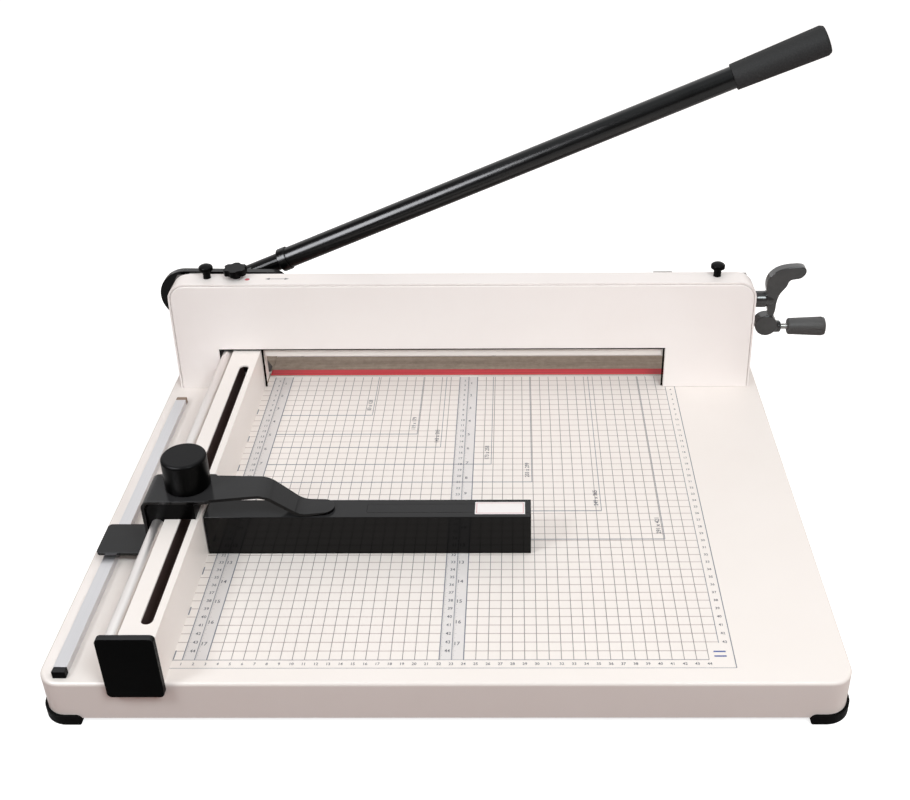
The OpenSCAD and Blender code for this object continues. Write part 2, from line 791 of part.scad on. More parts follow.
module front_cover() color(cream) placed() from_front(house_y, cover_t) difference() {
  house_outline(cover_in, house_r - cover_in);
  translate([throat_x0, table_z - over]) square([throat_x1 - throat_x0, throat_h + over]);
}

module screw_lugs() color(steel) placed() for (x = [-thumb_x, lock_x, thumb_x]) difference() {
  translate([x - lug_w / 2, lug_y0, guide_z1 - lug_h]) cube([lug_w, guide_y - lug_y0, lug_h]);
  translate([x, thumb_y, guide_z1 - lug_h - over]) cylinder(r = thumb_shank_r + fit, h = lug_h + 2 * over);
}

module rack_guides() color(steel) placed() for (x = [-rack_x, rack_x], side = [0, 1]) translate([x, 0, 0])
  mirror([side, 0, 0]) translate([face_w / 2 + pass, rack_pitch_y, guide_z0])
    cube([rack_guide_w, guide_y - rack_pitch_y, guide_z1 - guide_z0]);

module bush_at(x, z) translate([x, crank_y, z]) difference() {
  rod_x(0, frame_t, bush_r);
  rod_x(-over, frame_t + 2 * over, shaft_d / 2 + fit);
}
module shaft_bushes() color(bronze) placed() {
  bush_at(-frame_out, lay_z);
  bush_at(web_in, lay_z);
  bush_at(web_in, crank_z);
}

// Side fence: a box tube with a slot along its top
module side_fence() color(cream) placed() difference() {
  from_front(0, fence_y1) difference() {
    translate([fence_x0, table_z]) square([fence_w, fence_h]);
    translate([fence_x0 + fence_t, table_z + fence_t]) square([fence_w - 2 * fence_t, fence_h - 2 * fence_t]);
  }
  translate([slot_x, 0, fence_top - fence_t - over]) linear_extrude(fence_t + 2 * over) {
    translate([-slot_w / 2, slot_y0 + slot_w / 2]) square([slot_w, slot_y1 - slot_y0 - slot_w]);
    for (y = [slot_y0 + slot_w / 2, slot_y1 - slot_w / 2]) translate([0, y]) circle(slot_w / 2);
  }
  at_all(table_screw_at) bore_up(table_z, table_screw_r + seat, fence_t + over);
}

rod_socket = cap_t * 0.6;
cap_lap = 1;
cap_round = 4;
cap_past = 2.7;
cap_plug = 12;
cap_x0 = rod_x - rod_d / 2 - cap_past;
module fence_end_cap() color(black) placed() difference() {
  union() {
    from_front(-cap_t, cap_t) translate([cap_x0, table_z - cap_drop])
      round_rect(fence_face_x + cap_lap - cap_x0, fence_h + cap_drop + cap_rise, cap_round);
    translate([fence_x0 + fence_t + seat, 0, table_z + fence_t + seat])
      cube([fence_w - 2 * (fence_t + seat), cap_plug, fence_h - 2 * (fence_t + seat)]);
  }
  translate([rod_x, 0, rod_z]) rod_y(-rod_socket, rod_socket + over, rod_d / 2 + seat);
}

module guide_rod() color(bright) placed() translate([rod_x, 0, rod_z])
  rod_y(-rod_socket, rod_socket + bracket_y + bracket_len, rod_d / 2);

module rod_bracket() color(dark) placed() difference() {
  translate([rod_x - rod_side_wall, bracket_y, table_z])
    cube([rod_side_wall + rod_side - pass, bracket_len, rod_h + rod_d]);
  translate([rod_x, 0, rod_z]) rod_y(bracket_y - over, bracket_len + 2 * over, rod_d / 2 + seat);
  at_all([bracket_mid]) bore_up(table_z, table_screw_r + seat, table_screw_up + over);
}

// Section of the rail, drawn in from its faces
module rail_section(inset)
  translate([rail_x0 + inset, table_z + inset]) square([rail_w - 2 * inset, rail_h - 2 * inset]);
module scale_rail() color(bright) placed() difference() {
  from_front(rail_y0 + plug_len, rail_y1 - rail_y0 - 2 * plug_len) difference() {
    rail_section(0);
    rail_section(rail_t);
  }
  at_all(table_screw_at) bore_up(table_z, table_screw_r + seat, rail_t + over);
}
module rail_plug(y, spigot_y) {
  from_front(y, plug_len) rail_section(0);
  from_front(spigot_y, 2 * plug_len) rail_section(rail_t + seat);
}
module rail_front_plug() color(black) placed() rail_plug(rail_y0, rail_y0 + over);
module rail_rear_plug() color(brown) placed() rail_plug(rail_y1 - plug_len, rail_y1 - 2 * plug_len - over);

module table_screws() color(dark) placed() at_all(table_screw_at) {
  translate([0, 0, under_z - table_screw_head]) cylinder(r = 2 * table_screw_r, h = table_screw_head);
  translate([0, 0, under_z - over]) cylinder(r = table_screw_r, h = sheet_t + over + table_screw_up);
}

// Shoulder bolt that the lever turns on
module pivot_bolt() color(dark) placed() translate([pivot_x, 0, pivot_z]) {
  rod_y(frame_back - bolt_reach, bolt_reach + over, bolt_thread_d / 2);
  rod_y(frame_back, hub_back + 2 * pass - frame_back, pivot_d / 2);
  rod_y(hub_back + 2 * pass, bolt_head_h, bolt_head_r);
}

// Everything on the lever is drawn along its own axis, from the pivot
module on_lever() translate([pivot_x, lever_y, pivot_z]) rotate([0, -lever_angle, 0]) children();
rib_len = 70;
rib_h = 16;
module lever_hub() color(black) placed() difference() {
  union() {
    from_front(hub_y, hub_plate) link(hub_end, hub_r, [pin_x, pin_z], pin_boss_r);
    translate([pivot_x, 0, pivot_z]) rod_y(hub_y, hub_back - hub_y, hub_boss_r);
    on_lever() rod_x(0, shank_end, shank_r);
    on_lever() translate([0, hub_y + over - lever_y, -rib_h / 2])
      cube([rib_len, lever_y - hub_y - over, rib_h]);
  }
  translate([pivot_x, 0, pivot_z])
    rod_y(hub_y - over, hub_back - hub_y + 2 * over, pivot_d / 2 + bush_t + seat);
  translate([pin_x, 0, pin_z]) rod_y(hub_y - over, hub_plate + 2 * over, pin_d / 2 + seat);
}

module hub_bush() color(bronze) placed() translate([pivot_x, 0, pivot_z]) difference() {
  rod_y(hub_y, hub_back - hub_y, pivot_d / 2 + bush_t);
  rod_y(hub_y - over, hub_back - hub_y + 2 * over, pivot_d / 2 + fit);
}

grip_end = 4;
module lever_tube() color(black) placed() on_lever() difference() {
  rod_x(tube_start, lever_len - grip_end - tube_start, tube_d / 2);
  rod_x(tube_start - over, lever_len, tube_d / 2 - tube_t);
}

module lever_collar() color(black) placed() on_lever() difference() {
  rod_x(tube_start - collar_back, collar_len, tube_d / 2 + collar_lip);
  rod_x(tube_start, collar_len, tube_d / 2 + seat);
  rod_x(tube_start - collar_back - over, collar_len, shank_r + seat);
}

module lever_grip() color(dark) placed() on_lever() translate([lever_len - grip_len, 0, 0]) rotate([0, 90, 0])
  rotate_extrude() polygon([
    [tube_d / 2 + seat, 0], [grip_d0 / 2, 0], [grip_d1 / 2, grip_len - grip_end],
    [grip_d1 / 2 - grip_end / 2, grip_len], [0, grip_len], [0, grip_len - grip_end],
    [tube_d / 2 + seat, grip_len - grip_end]
  ]);

pin_head = 3;
module drive_pin() color(steel) placed() translate([pin_x, 0, pin_z]) {
  rod_y(carrier_y + over, hub_y + hub_plate - carrier_y, pin_d / 2);
  rod_y(hub_y + hub_plate, pin_head, pin_d / 2 + pin_head);
}

// Blade carrier: its ends lie along the slanted guides, and the drive pin runs in its slot
bolt_step = (blade_x1 - blade_x0 - 2 * blade_bolt_in) / (bolt_count - 1);
module at_blade_bolts() for (k = [0:bolt_count - 1])
  translate([blade_x0 + blade_bolt_in + k * bolt_step, 0, bolt_z]) children();
module blade_carrier() color(steel) placed() difference() {
  from_front(carrier_y, carrier_t) difference() {
    polygon([
      [left_edge(carrier_z0), carrier_z0], [right_edge(carrier_z0), carrier_z0],
      [right_edge(carrier_z1), carrier_z1], [left_edge(carrier_z1), carrier_z1]
    ]);
    link(
      [pin_x - slice_run - slot_end, pin_z], slot_half,
      [pin_x + drive_r * (1 - cos(lever_swing / 2)) + slot_end, pin_z], slot_half
    );
  }
  at_blade_bolts() rod_y(carrier_y - over, carrier_t + 2 * over, blade_bolt_r + seat);
}

module blade() color(bright) placed() difference() {
  from_left(blade_x0, blade_x1 - blade_x0) polygon([
    [blade_y, edge_z], [carrier_y, edge_z + bevel_h], [carrier_y, blade_top], [blade_y, blade_top]
  ]);
  at_blade_bolts() rod_y(blade_y - over, blade_t + 2 * over, blade_bolt_r + seat);
}

module blade_bolts() color(dark) placed() at_blade_bolts() {
  rod_y(blade_y, blade_t + carrier_t + over, blade_bolt_r);
  translate([0, carrier_y + carrier_t, 0]) rotate([-90, 0, 0])
    cylinder(r = 1.6 * blade_bolt_r, h = bolt_head, $fn = 6);
}

module at_crank() translate([0, crank_y, crank_z]) children();
module crank_shaft() color(bright) placed() at_crank()
  rod_x(gear_x - gear_gap, arm_x + shaft_in_arm - gear_x + gear_gap, shaft_d / 2);

// Cast crank arm: a thumb paddle above the shaft, and an elbow below it that holds the grip
// Each paddle circle is given by its place across and above the shaft, and its radius
paddle = [[4.5, 5.5, 4.5], [8, 20, 10.5], [17, 32.5, 7.5], [33.5, 37, 6.6]];
elbow = [-2, -27.2];
elbow_r = 12;
elbow_link_r = 6;
crank_boss = [4, 0];
crank_boss_r = 5.2;
boss_wall = 1.5;
boss_len = 10;
spindle_in = 13;
module paddle_part(p, q) link([p[0], p[1]], p[2], [q[0], q[1]], q[2]);
module crank_arm() color(black) placed() difference() {
  union() {
    at_crank() rod_x(side_x + collar_gap, arm_x - side_x, collar_d / 2);
    translate([arm_x, 0, crank_z]) from_front(crank_y - arm_t / 2, arm_t) {
      for (k = [1:len(paddle) - 1]) paddle_part(paddle[k - 1], paddle[k]);
      link(crank_boss, crank_boss_r, elbow, elbow_link_r);
      translate(elbow) circle(elbow_r);
    }
    at_crank() rod_x(arm_x, boss_len, shaft_d / 2 + boss_wall);
    translate([0, crank_y, grip_z]) rod_x(arm_x, grip_x0 - neck_gap - arm_x, neck_r);
  }
  at_crank() rod_x(side_x - over, arm_x + shaft_in_arm + seat - side_x + over, shaft_d / 2 + seat);
  translate([0, crank_y, grip_z])
    rod_x(grip_x0 - spindle_in - seat, spindle_in + seat + over, spindle_r + seat);
}

module gear_on_shaft(n, m, z, turn) difference() {
  from_left(gear_x, face_w) translate([crank_y, z]) rotate(turn) gear_profile(n, m);
  translate([0, crank_y, z]) rod_x(gear_x - over, face_w + 2 * over, shaft_d / 2 + seat);
}
module crank_gear() color(steel) placed() gear_on_shaft(gear_teeth, gear_m, crank_z, 0);
module layshaft_gear() color(steel) placed() gear_on_shaft(gear_teeth, gear_m, lay_z, 180 / gear_teeth);

spindle_end = 3;
module grip_spindle() color(bright) placed() translate([0, crank_y, grip_z])
  rod_x(grip_x0 - spindle_in, crank_grip_len + spindle_in - 2 * spindle_end, spindle_r);

grip_edge = 1;
grip_nose = 4;
flute_r = 4;
flute_in = 0.8;
flutes = 8;
module at_grip() translate([grip_x0, crank_y, grip_z]) rotate([0, 90, 0]) children();
module crank_grip() color(dark) placed() at_grip() difference() {
  rotate_extrude() polygon([
    [spindle_r + fit, 0], [crank_grip_d0 / 2 - grip_edge, 0], [crank_grip_d0 / 2, grip_edge],
    [crank_grip_d1 / 2, crank_grip_len - grip_nose],
    [crank_grip_d1 / 2 - grip_edge, crank_grip_len - grip_edge],
    [crank_grip_d1 / 2 - grip_nose, crank_grip_len], [0, crank_grip_len], [0, crank_grip_len - spindle_end],
    [spindle_r + fit, crank_grip_len - spindle_end]
  ]);
  for (k = [0:flutes - 1]) rotate(k * 360 / flutes)
    translate([crank_grip_d1 / 2 + flute_r - flute_in, 0, -over])
      cylinder(r = flute_r, h = crank_grip_len - grip_nose);
}

module layshaft() color(bright) placed()
  translate([0, crank_y, lay_z]) rod_x(-frame_out, 2 * frame_out, shaft_d / 2);

module clamp_pinions() color(steel) placed() for (x = [-rack_x, rack_x]) difference() {
  from_left(x - face_w / 2, face_w) translate([crank_y, lay_z]) gear_profile(pinion_teeth, pinion_m);
  translate([0, crank_y, lay_z]) rod_x(x - face_w / 2 - over, face_w + 2 * over, shaft_d / 2 + seat);
}

// Clamp bar: a flat foot on the paper and a stiff web along its front
module clamp_bar() color(cream) placed() from_left(clamp_x0, clamp_x1 - clamp_x0) {
  translate([clamp_y0, clamp_z0]) square([rack_back - clamp_y0, clamp_foot]);
  translate([clamp_y0, clamp_z0]) square([clamp_web, clamp_h]);
}

// Upright rack, one outline with its teeth towards the pinion
module rack(x) color(steel) placed() from_left(x - face_w / 2, face_w) {
  root_y = rack_pitch_y + rack_dedendum;
  tip_y = rack_pitch_y - rack_addendum;
  root_half = rack_step / 4 - backlash / 2 + rack_dedendum * tan(pressure);
  tip_half = rack_step / 4 - backlash / 2 - rack_addendum * tan(pressure);
  teeth = [for (k = [-2:floor((rack_z1 - lay_z) / rack_step) - 1]) lay_z + (k + 0.5) * rack_step];
  polygon(concat(
    [[rack_back, rack_z1], [rack_back, rack_z0], [root_y, rack_z0]],
    [for (z = teeth) each [
      [root_y, z - root_half], [tip_y, z - tip_half], [tip_y, z + tip_half], [root_y, z + root_half]
    ]],
    [[root_y, rack_z1]]
  ));
}
module left_rack() rack(-rack_x);
module right_rack() rack(rack_x);

// Back gauge: a box bar with plugged ends and a strip let into its top
strip_y0 = gauge_y + (bar_d - strip_d) / 2;
module gauge_bar() color(black) placed() difference() {
  from_left(bar_x0, bar_len) difference() {
    translate([gauge_y, bar_z0]) square([bar_d, bar_h]);
    translate([gauge_y + bar_t, bar_z0 + bar_t]) square([bar_d - 2 * bar_t, bar_h - 2 * bar_t]);
  }
  translate([bar_x0 + strip_start, strip_y0 - seat, bar_z1 - strip_t])
    cube([bar_len, strip_d + 2 * seat, strip_t + over]);
}
module bar_end_plugs() color(black) placed() for (x = [bar_x0, bar_x1 - plug_len])
  translate([x, gauge_y + bar_t + seat, bar_z0 + bar_t + seat])
    cube([plug_len, bar_d - 2 * (bar_t + seat), bar_h - 2 * (bar_t + seat)]);
module gauge_strip() color(dark) placed() translate([bar_x0 + strip_start + seat, strip_y0, bar_z1 - strip_t])
  cube([bar_len - strip_start - seat, strip_d, strip_t]);

// Folded bracket, seen from the front: tab, leg, bridge, slope and pad, one side at a time
fold_in = 3;
bend_steps = 10;
function bend(c, r, a0, a1) = [for (i = [0:bend_steps]) c + along(a0 + (a1 - a0) * i / bend_steps, r)];
function bracket_side(lower) =
  let (
    t = bracket_t,
    top_c = [arm_start, bridge_z - t / 2 - bend_r],
    slope_start = top_c + along(90 - arm_slope, bend_r),
    low_c = slope_start + along(-arm_slope, slope_len) + along(90 - arm_slope, bend_r)
  )
  concat(
    [[tab_x0, tab_z + (lower ? 0 : t)]],
    bend([leg_x - fold_in, tab_z + t + fold_in], fold_in + (lower ? t : 0), -90, 0),
    bend([leg_x + bracket_r, bridge_z - bracket_r], bracket_r - (lower ? t : 0), 180, 90),
    bend(top_c, bend_r + (lower ? -t / 2 : t / 2), 90, 90 - arm_slope),
    bend(low_c, bend_r + (lower ? t / 2 : -t / 2), 270 - arm_slope, 270),
    [[pad_x + arm_pad, bar_z1 + (lower ? 0 : t)]]
  );
module bracket_profile() {
  upper = bracket_side(false);
  polygon(concat(bracket_side(true), [for (i = [len(upper) - 1:-1:0]) upper[i]]));
}
plate_past = 24;
plate_r = 4;
pad_r = 10;
module bracket_plan() {
  translate([tab_x0, bracket_y0]) round_rect(slot_x + plate_past - tab_x0, bracket_d, plate_r);
  link(
    [slot_x + plate_past - plate_r, (bracket_y0 + bracket_y1) / 2], bracket_d / 2 - plate_r / 2,
    [pad_x + arm_pad - pad_r, gauge_y + bar_d / 2], pad_r
  );
}
module gauge_bracket() color(black) placed() difference() {
  intersection() {
    from_front(bracket_y0 - over, bracket_d + 2 * over) bracket_profile();
    linear_extrude(bridge_z + over) bracket_plan();
  }
  translate([slot_x, knob_y, bridge_under - over]) cylinder(r = stud_d / 2 + pass, h = bracket_t + 2 * over);
}

// Slider that hangs the bracket on the guide rod and bears on the fence
module rod_slider() color(black) placed() difference() {
  x0 = rod_x - slider_r;
  x1 = slot_x + slider_past;
  side = rod_x + rod_side - pass;
  from_front(bracket_y0 + slider_end, bracket_d - 2 * slider_end) polygon([
    [x0, rod_z - slider_r], [side, rod_z - slider_r], [side, fence_top + slider_lap],
    [x1, fence_top + slider_lap], [x1, bridge_under], [x0 + slider_cut, bridge_under],
    [x0, bridge_under - slider_cut]
  ]);
  translate([rod_x, 0, rod_z]) rod_y(bracket_y0, bracket_d, rod_d / 2 + fit);
  translate([slot_x, knob_y, 0]) bore_up(fence_top, stud_d / 2 + pass, bridge_under - fence_top + over);
}

// Shoe under the tab: it straddles the rail with a lip on each side
shoe_front = 5;
shoe_y0 = gauge_y - shoe_front;
shoe_len = 22;
lip_t = 1.6;
lip_drop = 4;
module rail_shoe() color(dark) placed() from_front(shoe_y0, shoe_len) {
  lip_x0 = rail_x0 - pass - lip_t;
  lip_x1 = rail_x0 + rail_w + pass;
  plate_z = rail_top + shoe_lift;
  translate([lip_x0, plate_z]) square([lip_x1 + lip_t - lip_x0, shoe_t]);
  for (x = [lip_x0, lip_x1]) translate([x, rail_top - lip_drop])
    square([lip_t, lip_drop + shoe_lift + shoe_t]);
}

nut_z = fence_top - fence_t - pass - nut_h;
module gauge_nut() color(steel) placed() difference() {
  translate([slot_x - nut_half, knob_y - nut_half, nut_z]) cube([2 * nut_half, 2 * nut_half, nut_h]);
  translate([slot_x, knob_y, nut_z - over]) cylinder(r = stud_d / 2 + fit, h = nut_h + 2 * over);
}

knob_round = 3;
stud_past = 2;
module gauge_knob() color(black) placed() translate([slot_x, knob_y, 0]) {
  translate([0, 0, bridge_z + pass]) rotate_extrude() {
    square([knob_d / 2 - knob_round, knob_h]);
    square([knob_d / 2, knob_h - knob_round]);
    translate([knob_d / 2 - knob_round, knob_h - knob_round]) circle(knob_round);
  }
  translate([0, 0, nut_z - stud_past])
    cylinder(r = stud_d / 2, h = bridge_z + pass + over - nut_z + stud_past);
}

// Mushroom screw through the top of the housing into its lug
module thumb_screw(x) color(black) placed() translate([x, thumb_y, 0]) {
  translate([0, 0, house_top - screw_reach]) cylinder(r = thumb_shank_r, h = screw_reach + neck_h + over);
  translate([0, 0, house_top + neck_h]) rotate_extrude() intersection() {
    square([thumb_d / 2, thumb_h]);
    translate([0, -thumb_d / 4]) circle(thumb_d / 4 + thumb_h);
  }
}
module thumb_screw_left() thumb_screw(-thumb_x);
module thumb_screw_right() thumb_screw(thumb_x);

lock_stem = 5;
lock_h = 7;
scallop_r = 5;
scallop_out = 3;
module lock_knob() color(dark) placed() translate([lock_x, thumb_y, 0]) {
  translate([0, 0, house_top - screw_reach]) cylinder(r = thumb_shank_r, h = screw_reach + lock_stem + over);
  translate([0, 0, house_top + lock_stem]) difference() {
    cylinder(r = lock_d / 2, h = lock_h);
    for (a = [0:60:300]) rotate(a) translate([lock_d / 2 + scallop_out, 0, -over])
      cylinder(r = scallop_r, h = lock_h + 2 * over);
  }
}

base_tray();
foot_front_left();
foot_front_right();
foot_rear_left();
foot_rear_right();
bed_bar();
bed_screws();
cutting_stick();
left_frame();
right_frame();
guide_plate();
left_keeper();
right_keeper();
keeper_screws();
frame_bolts();
housing_body();
front_cover();
screw_lugs();
rack_guides();
shaft_bushes();
side_fence();
fence_end_cap();
guide_rod();
rod_bracket();
scale_rail();
rail_front_plug();
rail_rear_plug();
table_screws();
pivot_bolt();
lever_hub();
hub_bush();
lever_tube();
lever_collar();
lever_grip();
drive_pin();
blade_carrier();
blade();
blade_bolts();
crank_shaft();
crank_arm();
crank_gear();
grip_spindle();
crank_grip();
layshaft();
layshaft_gear();
clamp_pinions();
clamp_bar();
left_rack();
right_rack();
gauge_bar();
bar_end_plugs();
gauge_strip();
gauge_bracket();
rod_slider();
rail_shoe();
gauge_nut();
gauge_knob();
thumb_screw_left();
thumb_screw_right();
lock_knob();
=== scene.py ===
import math

import bmesh
import bpy
from mathutils import Matrix, Vector


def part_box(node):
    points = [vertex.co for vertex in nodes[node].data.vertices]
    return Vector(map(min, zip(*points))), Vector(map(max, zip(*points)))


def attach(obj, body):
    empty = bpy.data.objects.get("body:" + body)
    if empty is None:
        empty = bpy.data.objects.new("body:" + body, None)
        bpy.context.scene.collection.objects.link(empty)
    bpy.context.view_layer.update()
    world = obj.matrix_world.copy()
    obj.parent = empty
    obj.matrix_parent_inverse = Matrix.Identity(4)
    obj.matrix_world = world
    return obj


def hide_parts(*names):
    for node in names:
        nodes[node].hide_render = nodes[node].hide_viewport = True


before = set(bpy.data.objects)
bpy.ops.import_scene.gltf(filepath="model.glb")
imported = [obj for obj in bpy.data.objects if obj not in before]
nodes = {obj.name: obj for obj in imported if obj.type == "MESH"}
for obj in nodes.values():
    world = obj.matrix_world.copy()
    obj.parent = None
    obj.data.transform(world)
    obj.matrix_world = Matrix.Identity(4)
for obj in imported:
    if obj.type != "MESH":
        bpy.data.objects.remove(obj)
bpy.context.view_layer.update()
scene = bpy.context.scene
mm = 0.001  # the frame is in metres, the sizes below are in millimetres

# Sizes below are measured from the middle of the tray's front edge, on the bench
trayLow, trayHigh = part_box("base_tray")
frontEdge = Vector(((trayLow.x + trayHigh.x) / 2, trayLow.y, 0))
tableTop = trayHigh.z


def spot(x, y, z=0):
    return frontEdge + Vector((x, y, z)) * mm


def turns(sides):  # angles round a full turn
    return [2 * math.pi * k / sides for k in range(sides)]


def srgb(red, green, blue):  # a colour as it is seen on screen, 0 to 255
    def straight(c):
        c = c / 255
        return c / 12.92 if c <= 0.04045 else ((c + 0.055) / 1.055) ** 2.4
    return (straight(red), straight(green), straight(blue), 1)


# Shader maths as Python sums

class Wire:
    def __init__(self, web, socket):
        self.web = web
        self.socket = socket

    def maths(self, kind, first, second=0.0):
        return self.web.add("ShaderNodeMath", {"operation": kind}, {0: first, 1: second})

    def __add__(self, other):
        return self.maths("ADD", self, other)

    def __radd__(self, other):
        return self.maths("ADD", other, self)

    def __sub__(self, other):
        return self.maths("SUBTRACT", self, other)

    def __rsub__(self, other):
        return self.maths("SUBTRACT", other, self)

    def __mul__(self, other):
        return self.maths("MULTIPLY", self, other)

    def __rmul__(self, other):
        return self.maths("MULTIPLY", other, self)

    def __gt__(self, other):
        return self.maths("GREATER_THAN", self, other)

    def __lt__(self, other):
        return self.maths("LESS_THAN", self, other)

    def __abs__(self):
        return self.maths("ABSOLUTE", self)

    def most(self, other):
        return self.maths("MAXIMUM", self, other)

    def blend(self, other, share):  # share is how much of this value there is in it
        return self * share + other * (1 - share)


class Web:  # the node tree of one material or of the world
    def __init__(self, owner):
        self.owner = owner
        owner.use_nodes = True
        self.tree = owner.node_tree

    def add(self, kind, settings=None, sockets=None, out=0):
        node = self.tree.nodes.new(kind)
        for key, value in (settings or {}).items():
            setattr(node, key, value)
        for key, value in (sockets or {}).items():
            self.feed(node.inputs[key], value)
        return Wire(self, node.outputs[out]) if len(node.outputs) else node

    def feed(self, socket, value):
        if isinstance(value, Wire):
            self.tree.links.new(value.socket, socket)
        else:
            socket.default_value = value

    def mix(self, factor, first, second):  # 6, 7 and 2 are the colour sockets of a Mix node
        return self.add("ShaderNodeMix", {"data_type": "RGBA"}, {0: factor, 6: first, 7: second}, 2)

    def place(self, stretch=None):  # where a point is in the frame, in metres
        where = self.add("ShaderNodeTexCoord", out="Object")
        if stretch:
            where = self.add("ShaderNodeMapping", None, {"Vector": where, "Scale": stretch})
        return where

    def part(self, where, axis):
        return self.add("ShaderNodeSeparateXYZ", None, {0: where}, axis)

    def within(self, where, low, high):  # 1 inside a box, 0 outside it
        mask = 1.0
        for axis, a, b in zip("XYZ", low, high):
            along = self.part(where, axis)
            mask = mask * (along > a) * (along < b)
        return mask

    def noise(self, where, grain, detail=2.0, rough=0.5):  # grain is the size of a blotch in millimetres
        return self.add("ShaderNodeTexNoise", None,
                        {"Vector": where, "Scale": 1 / (grain * mm), "Detail": detail, "Roughness": rough})

    def level(self):  # 1 on top of a piece, where the painted top sheen goes, down to 0 on its sides
        up = self.part(self.add("ShaderNodeNewGeometry", out="Normal"), "Z").most(0)
        return up * up

    def ray(self, kind):
        return self.add("ShaderNodeLightPath", out="Is %s Ray" % kind)


sheenSpread = {"least": 0.8, "patchy": 0.4}  # how much painted top sheen there is on what lies level


class Finish(Web):
    def __init__(self, name, **fixed):
        super().__init__(bpy.data.materials.new(name))
        self.shader = self.tree.nodes["Principled BSDF"]
        for socket, value in fixed.items():
            self.shader.inputs[socket.replace("_", " ")].default_value = value

    def colour(self, value):
        self.feed(self.shader.inputs["Base Color"], value)

    # Painted sheen: lightens upward faces towards a lighter colour, for the light that their tops catch
    def dusted(self, shade, texture, topSheen):
        return self.mix(self.level() * (texture * sheenSpread["patchy"] + sheenSpread["least"]), shade, topSheen)

    def rough(self, value, *swings):  # a swing is a texture and how far it moves the roughness
        for texture, reach in swings:
            value = (texture - 0.5) * reach + value
        self.feed(self.shader.inputs["Roughness"], value)

    def bump(self, height, depth, strength):  # depth in millimetres
        normal = self.add("ShaderNodeBump", None,
                          {"Height": height, "Distance": depth * mm, "Strength": strength})
        self.feed(self.shader.inputs["Normal"], normal)


# Sprayed paint: cloudSize, peel and depth are in millimetres, topSheen is a painted sheen, a lighter colour
# put on what lies level for the light its top catches

creamLook = {"main": srgb(241, 235, 231), "cloud": srgb(236, 229, 224), "cloudSize": 70,
             "peel": 1.3, "depth": 0.05, "rough": 0.42, "shine": 0.4, "coat": 0.1, "topSheen": None}
# Painted light: a lighter copy of the cream for the housing and its front cover, which catch more light
litCreamLook = dict(creamLook, main=srgb(251, 246, 244), cloud=srgb(247, 240, 237))
blackLook = {"main": srgb(5, 5, 5), "cloud": srgb(10, 9, 9), "cloudSize": 30,
             "peel": 1.6, "depth": 0.02, "rough": 0.12, "shine": 0.16, "coat": 0.05,
             "topSheen": srgb(44, 44, 45)}
tubeLook = {"main": srgb(3, 3, 3), "cloud": srgb(7, 7, 7), "cloudSize": 40,
            "peel": 2.0, "depth": 0.01, "rough": 0.25, "shine": 0.42, "coat": 0.1,
            "topSheen": srgb(6, 6, 7)}
castLook = {"main": srgb(36, 35, 35), "cloud": srgb(60, 59, 58), "cloudSize": 7,
            "peel": 1.1, "depth": 0.12, "rough": 0.2, "shine": 0.5, "coat": 0.6,
            "topSheen": srgb(40, 40, 41)}

# Shared by all sprayed paint, less leans the mix towards the main colour
spray = {"speck": 0.5, "coatRough": 0.1, "cloudShare": 0.8, "less": 0.1, "cloudRough": 0.12,
         "speckRough": 0.05, "peelShare": 0.85, "strength": 0.5}

# Painted shade inside the fence tube, behind its slot: the shade's colour, and how far its box lies in from
# the walls and out past the ends
tubeShade = {"paint": srgb(120, 98, 92), "wall": 1.9, "end": 1}


def enamel(name, look, shadeBox=None):
    paint = Finish(name, Coat_Weight=look["coat"], Coat_Roughness=spray["coatRough"],
                   Specular_IOR_Level=look["shine"])
    where = paint.place()
    cloud = paint.noise(where, look["cloudSize"], detail=3)
    peel = paint.noise(where, look["peel"])
    speck = paint.noise(where, spray["speck"], detail=1)
    shade = paint.mix(cloud.blend(speck, spray["cloudShare"]) - spray["less"], look["main"], look["cloud"])
    # painted sheen on upward faces
    if look["topSheen"]:
        shade = paint.dusted(shade, cloud, look["topSheen"])
    # painted shade inside the fence tube, where it lies in shadow behind the slot
    if shadeBox:
        shade = paint.mix(paint.within(where, *shadeBox), shade, tubeShade["paint"])
    paint.colour(shade)
    paint.rough(look["rough"], (cloud, spray["cloudRough"]), (speck, spray["speckRough"]))
    paint.bump(peel.blend(speck, spray["peelShare"]), look["depth"], spray["strength"])
    return paint.owner


# the box inside the fence tube that gets the painted shade
def fenceHollow():
    low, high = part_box("side_fence")
    wall = Vector((tubeShade["wall"], -tubeShade["end"], tubeShade["wall"])) * mm
    return low + wall, high - wall


# Plastic and rubber out of a grained mould: grain and depth in millimetres, topSheen is a painted sheen
# colour on what lies level

plasticLook = {"main": srgb(2, 2, 2), "pale": srgb(7, 7, 7), "grain": 0.7, "depth": 0.05,
               "rough": 0.3, "shine": 0.06, "topSheen": srgb(34, 34, 35)}
gripLook = {"main": srgb(30, 30, 31), "pale": srgb(54, 54, 54), "grain": 1.6, "depth": 0.5,
            "rough": 0.66, "shine": 0.3, "topSheen": srgb(44, 44, 44)}
crankLook = {"main": srgb(60, 59, 59), "pale": srgb(88, 87, 86), "grain": 0.9, "depth": 0.2,
             "rough": 0.45, "shine": 0.35, "topSheen": srgb(86, 86, 86)}
footLook = {"main": srgb(5, 5, 5), "pale": srgb(14, 13, 13), "grain": 1.2, "depth": 0.15,
            "rough": 0.5, "shine": 0.04, "topSheen": srgb(12, 12, 12)}
slipLook = {"main": srgb(1, 1, 1), "pale": srgb(3, 3, 3), "grain": 1.5, "depth": 0.02,
            "rough": 0.22, "shine": 0.03, "topSheen": srgb(52, 52, 53)}
plugLook = {"main": srgb(112, 92, 78), "pale": srgb(132, 110, 94), "grain": 0.8, "depth": 0.05,
            "rough": 0.5, "shine": 0.4, "topSheen": srgb(140, 118, 102)}

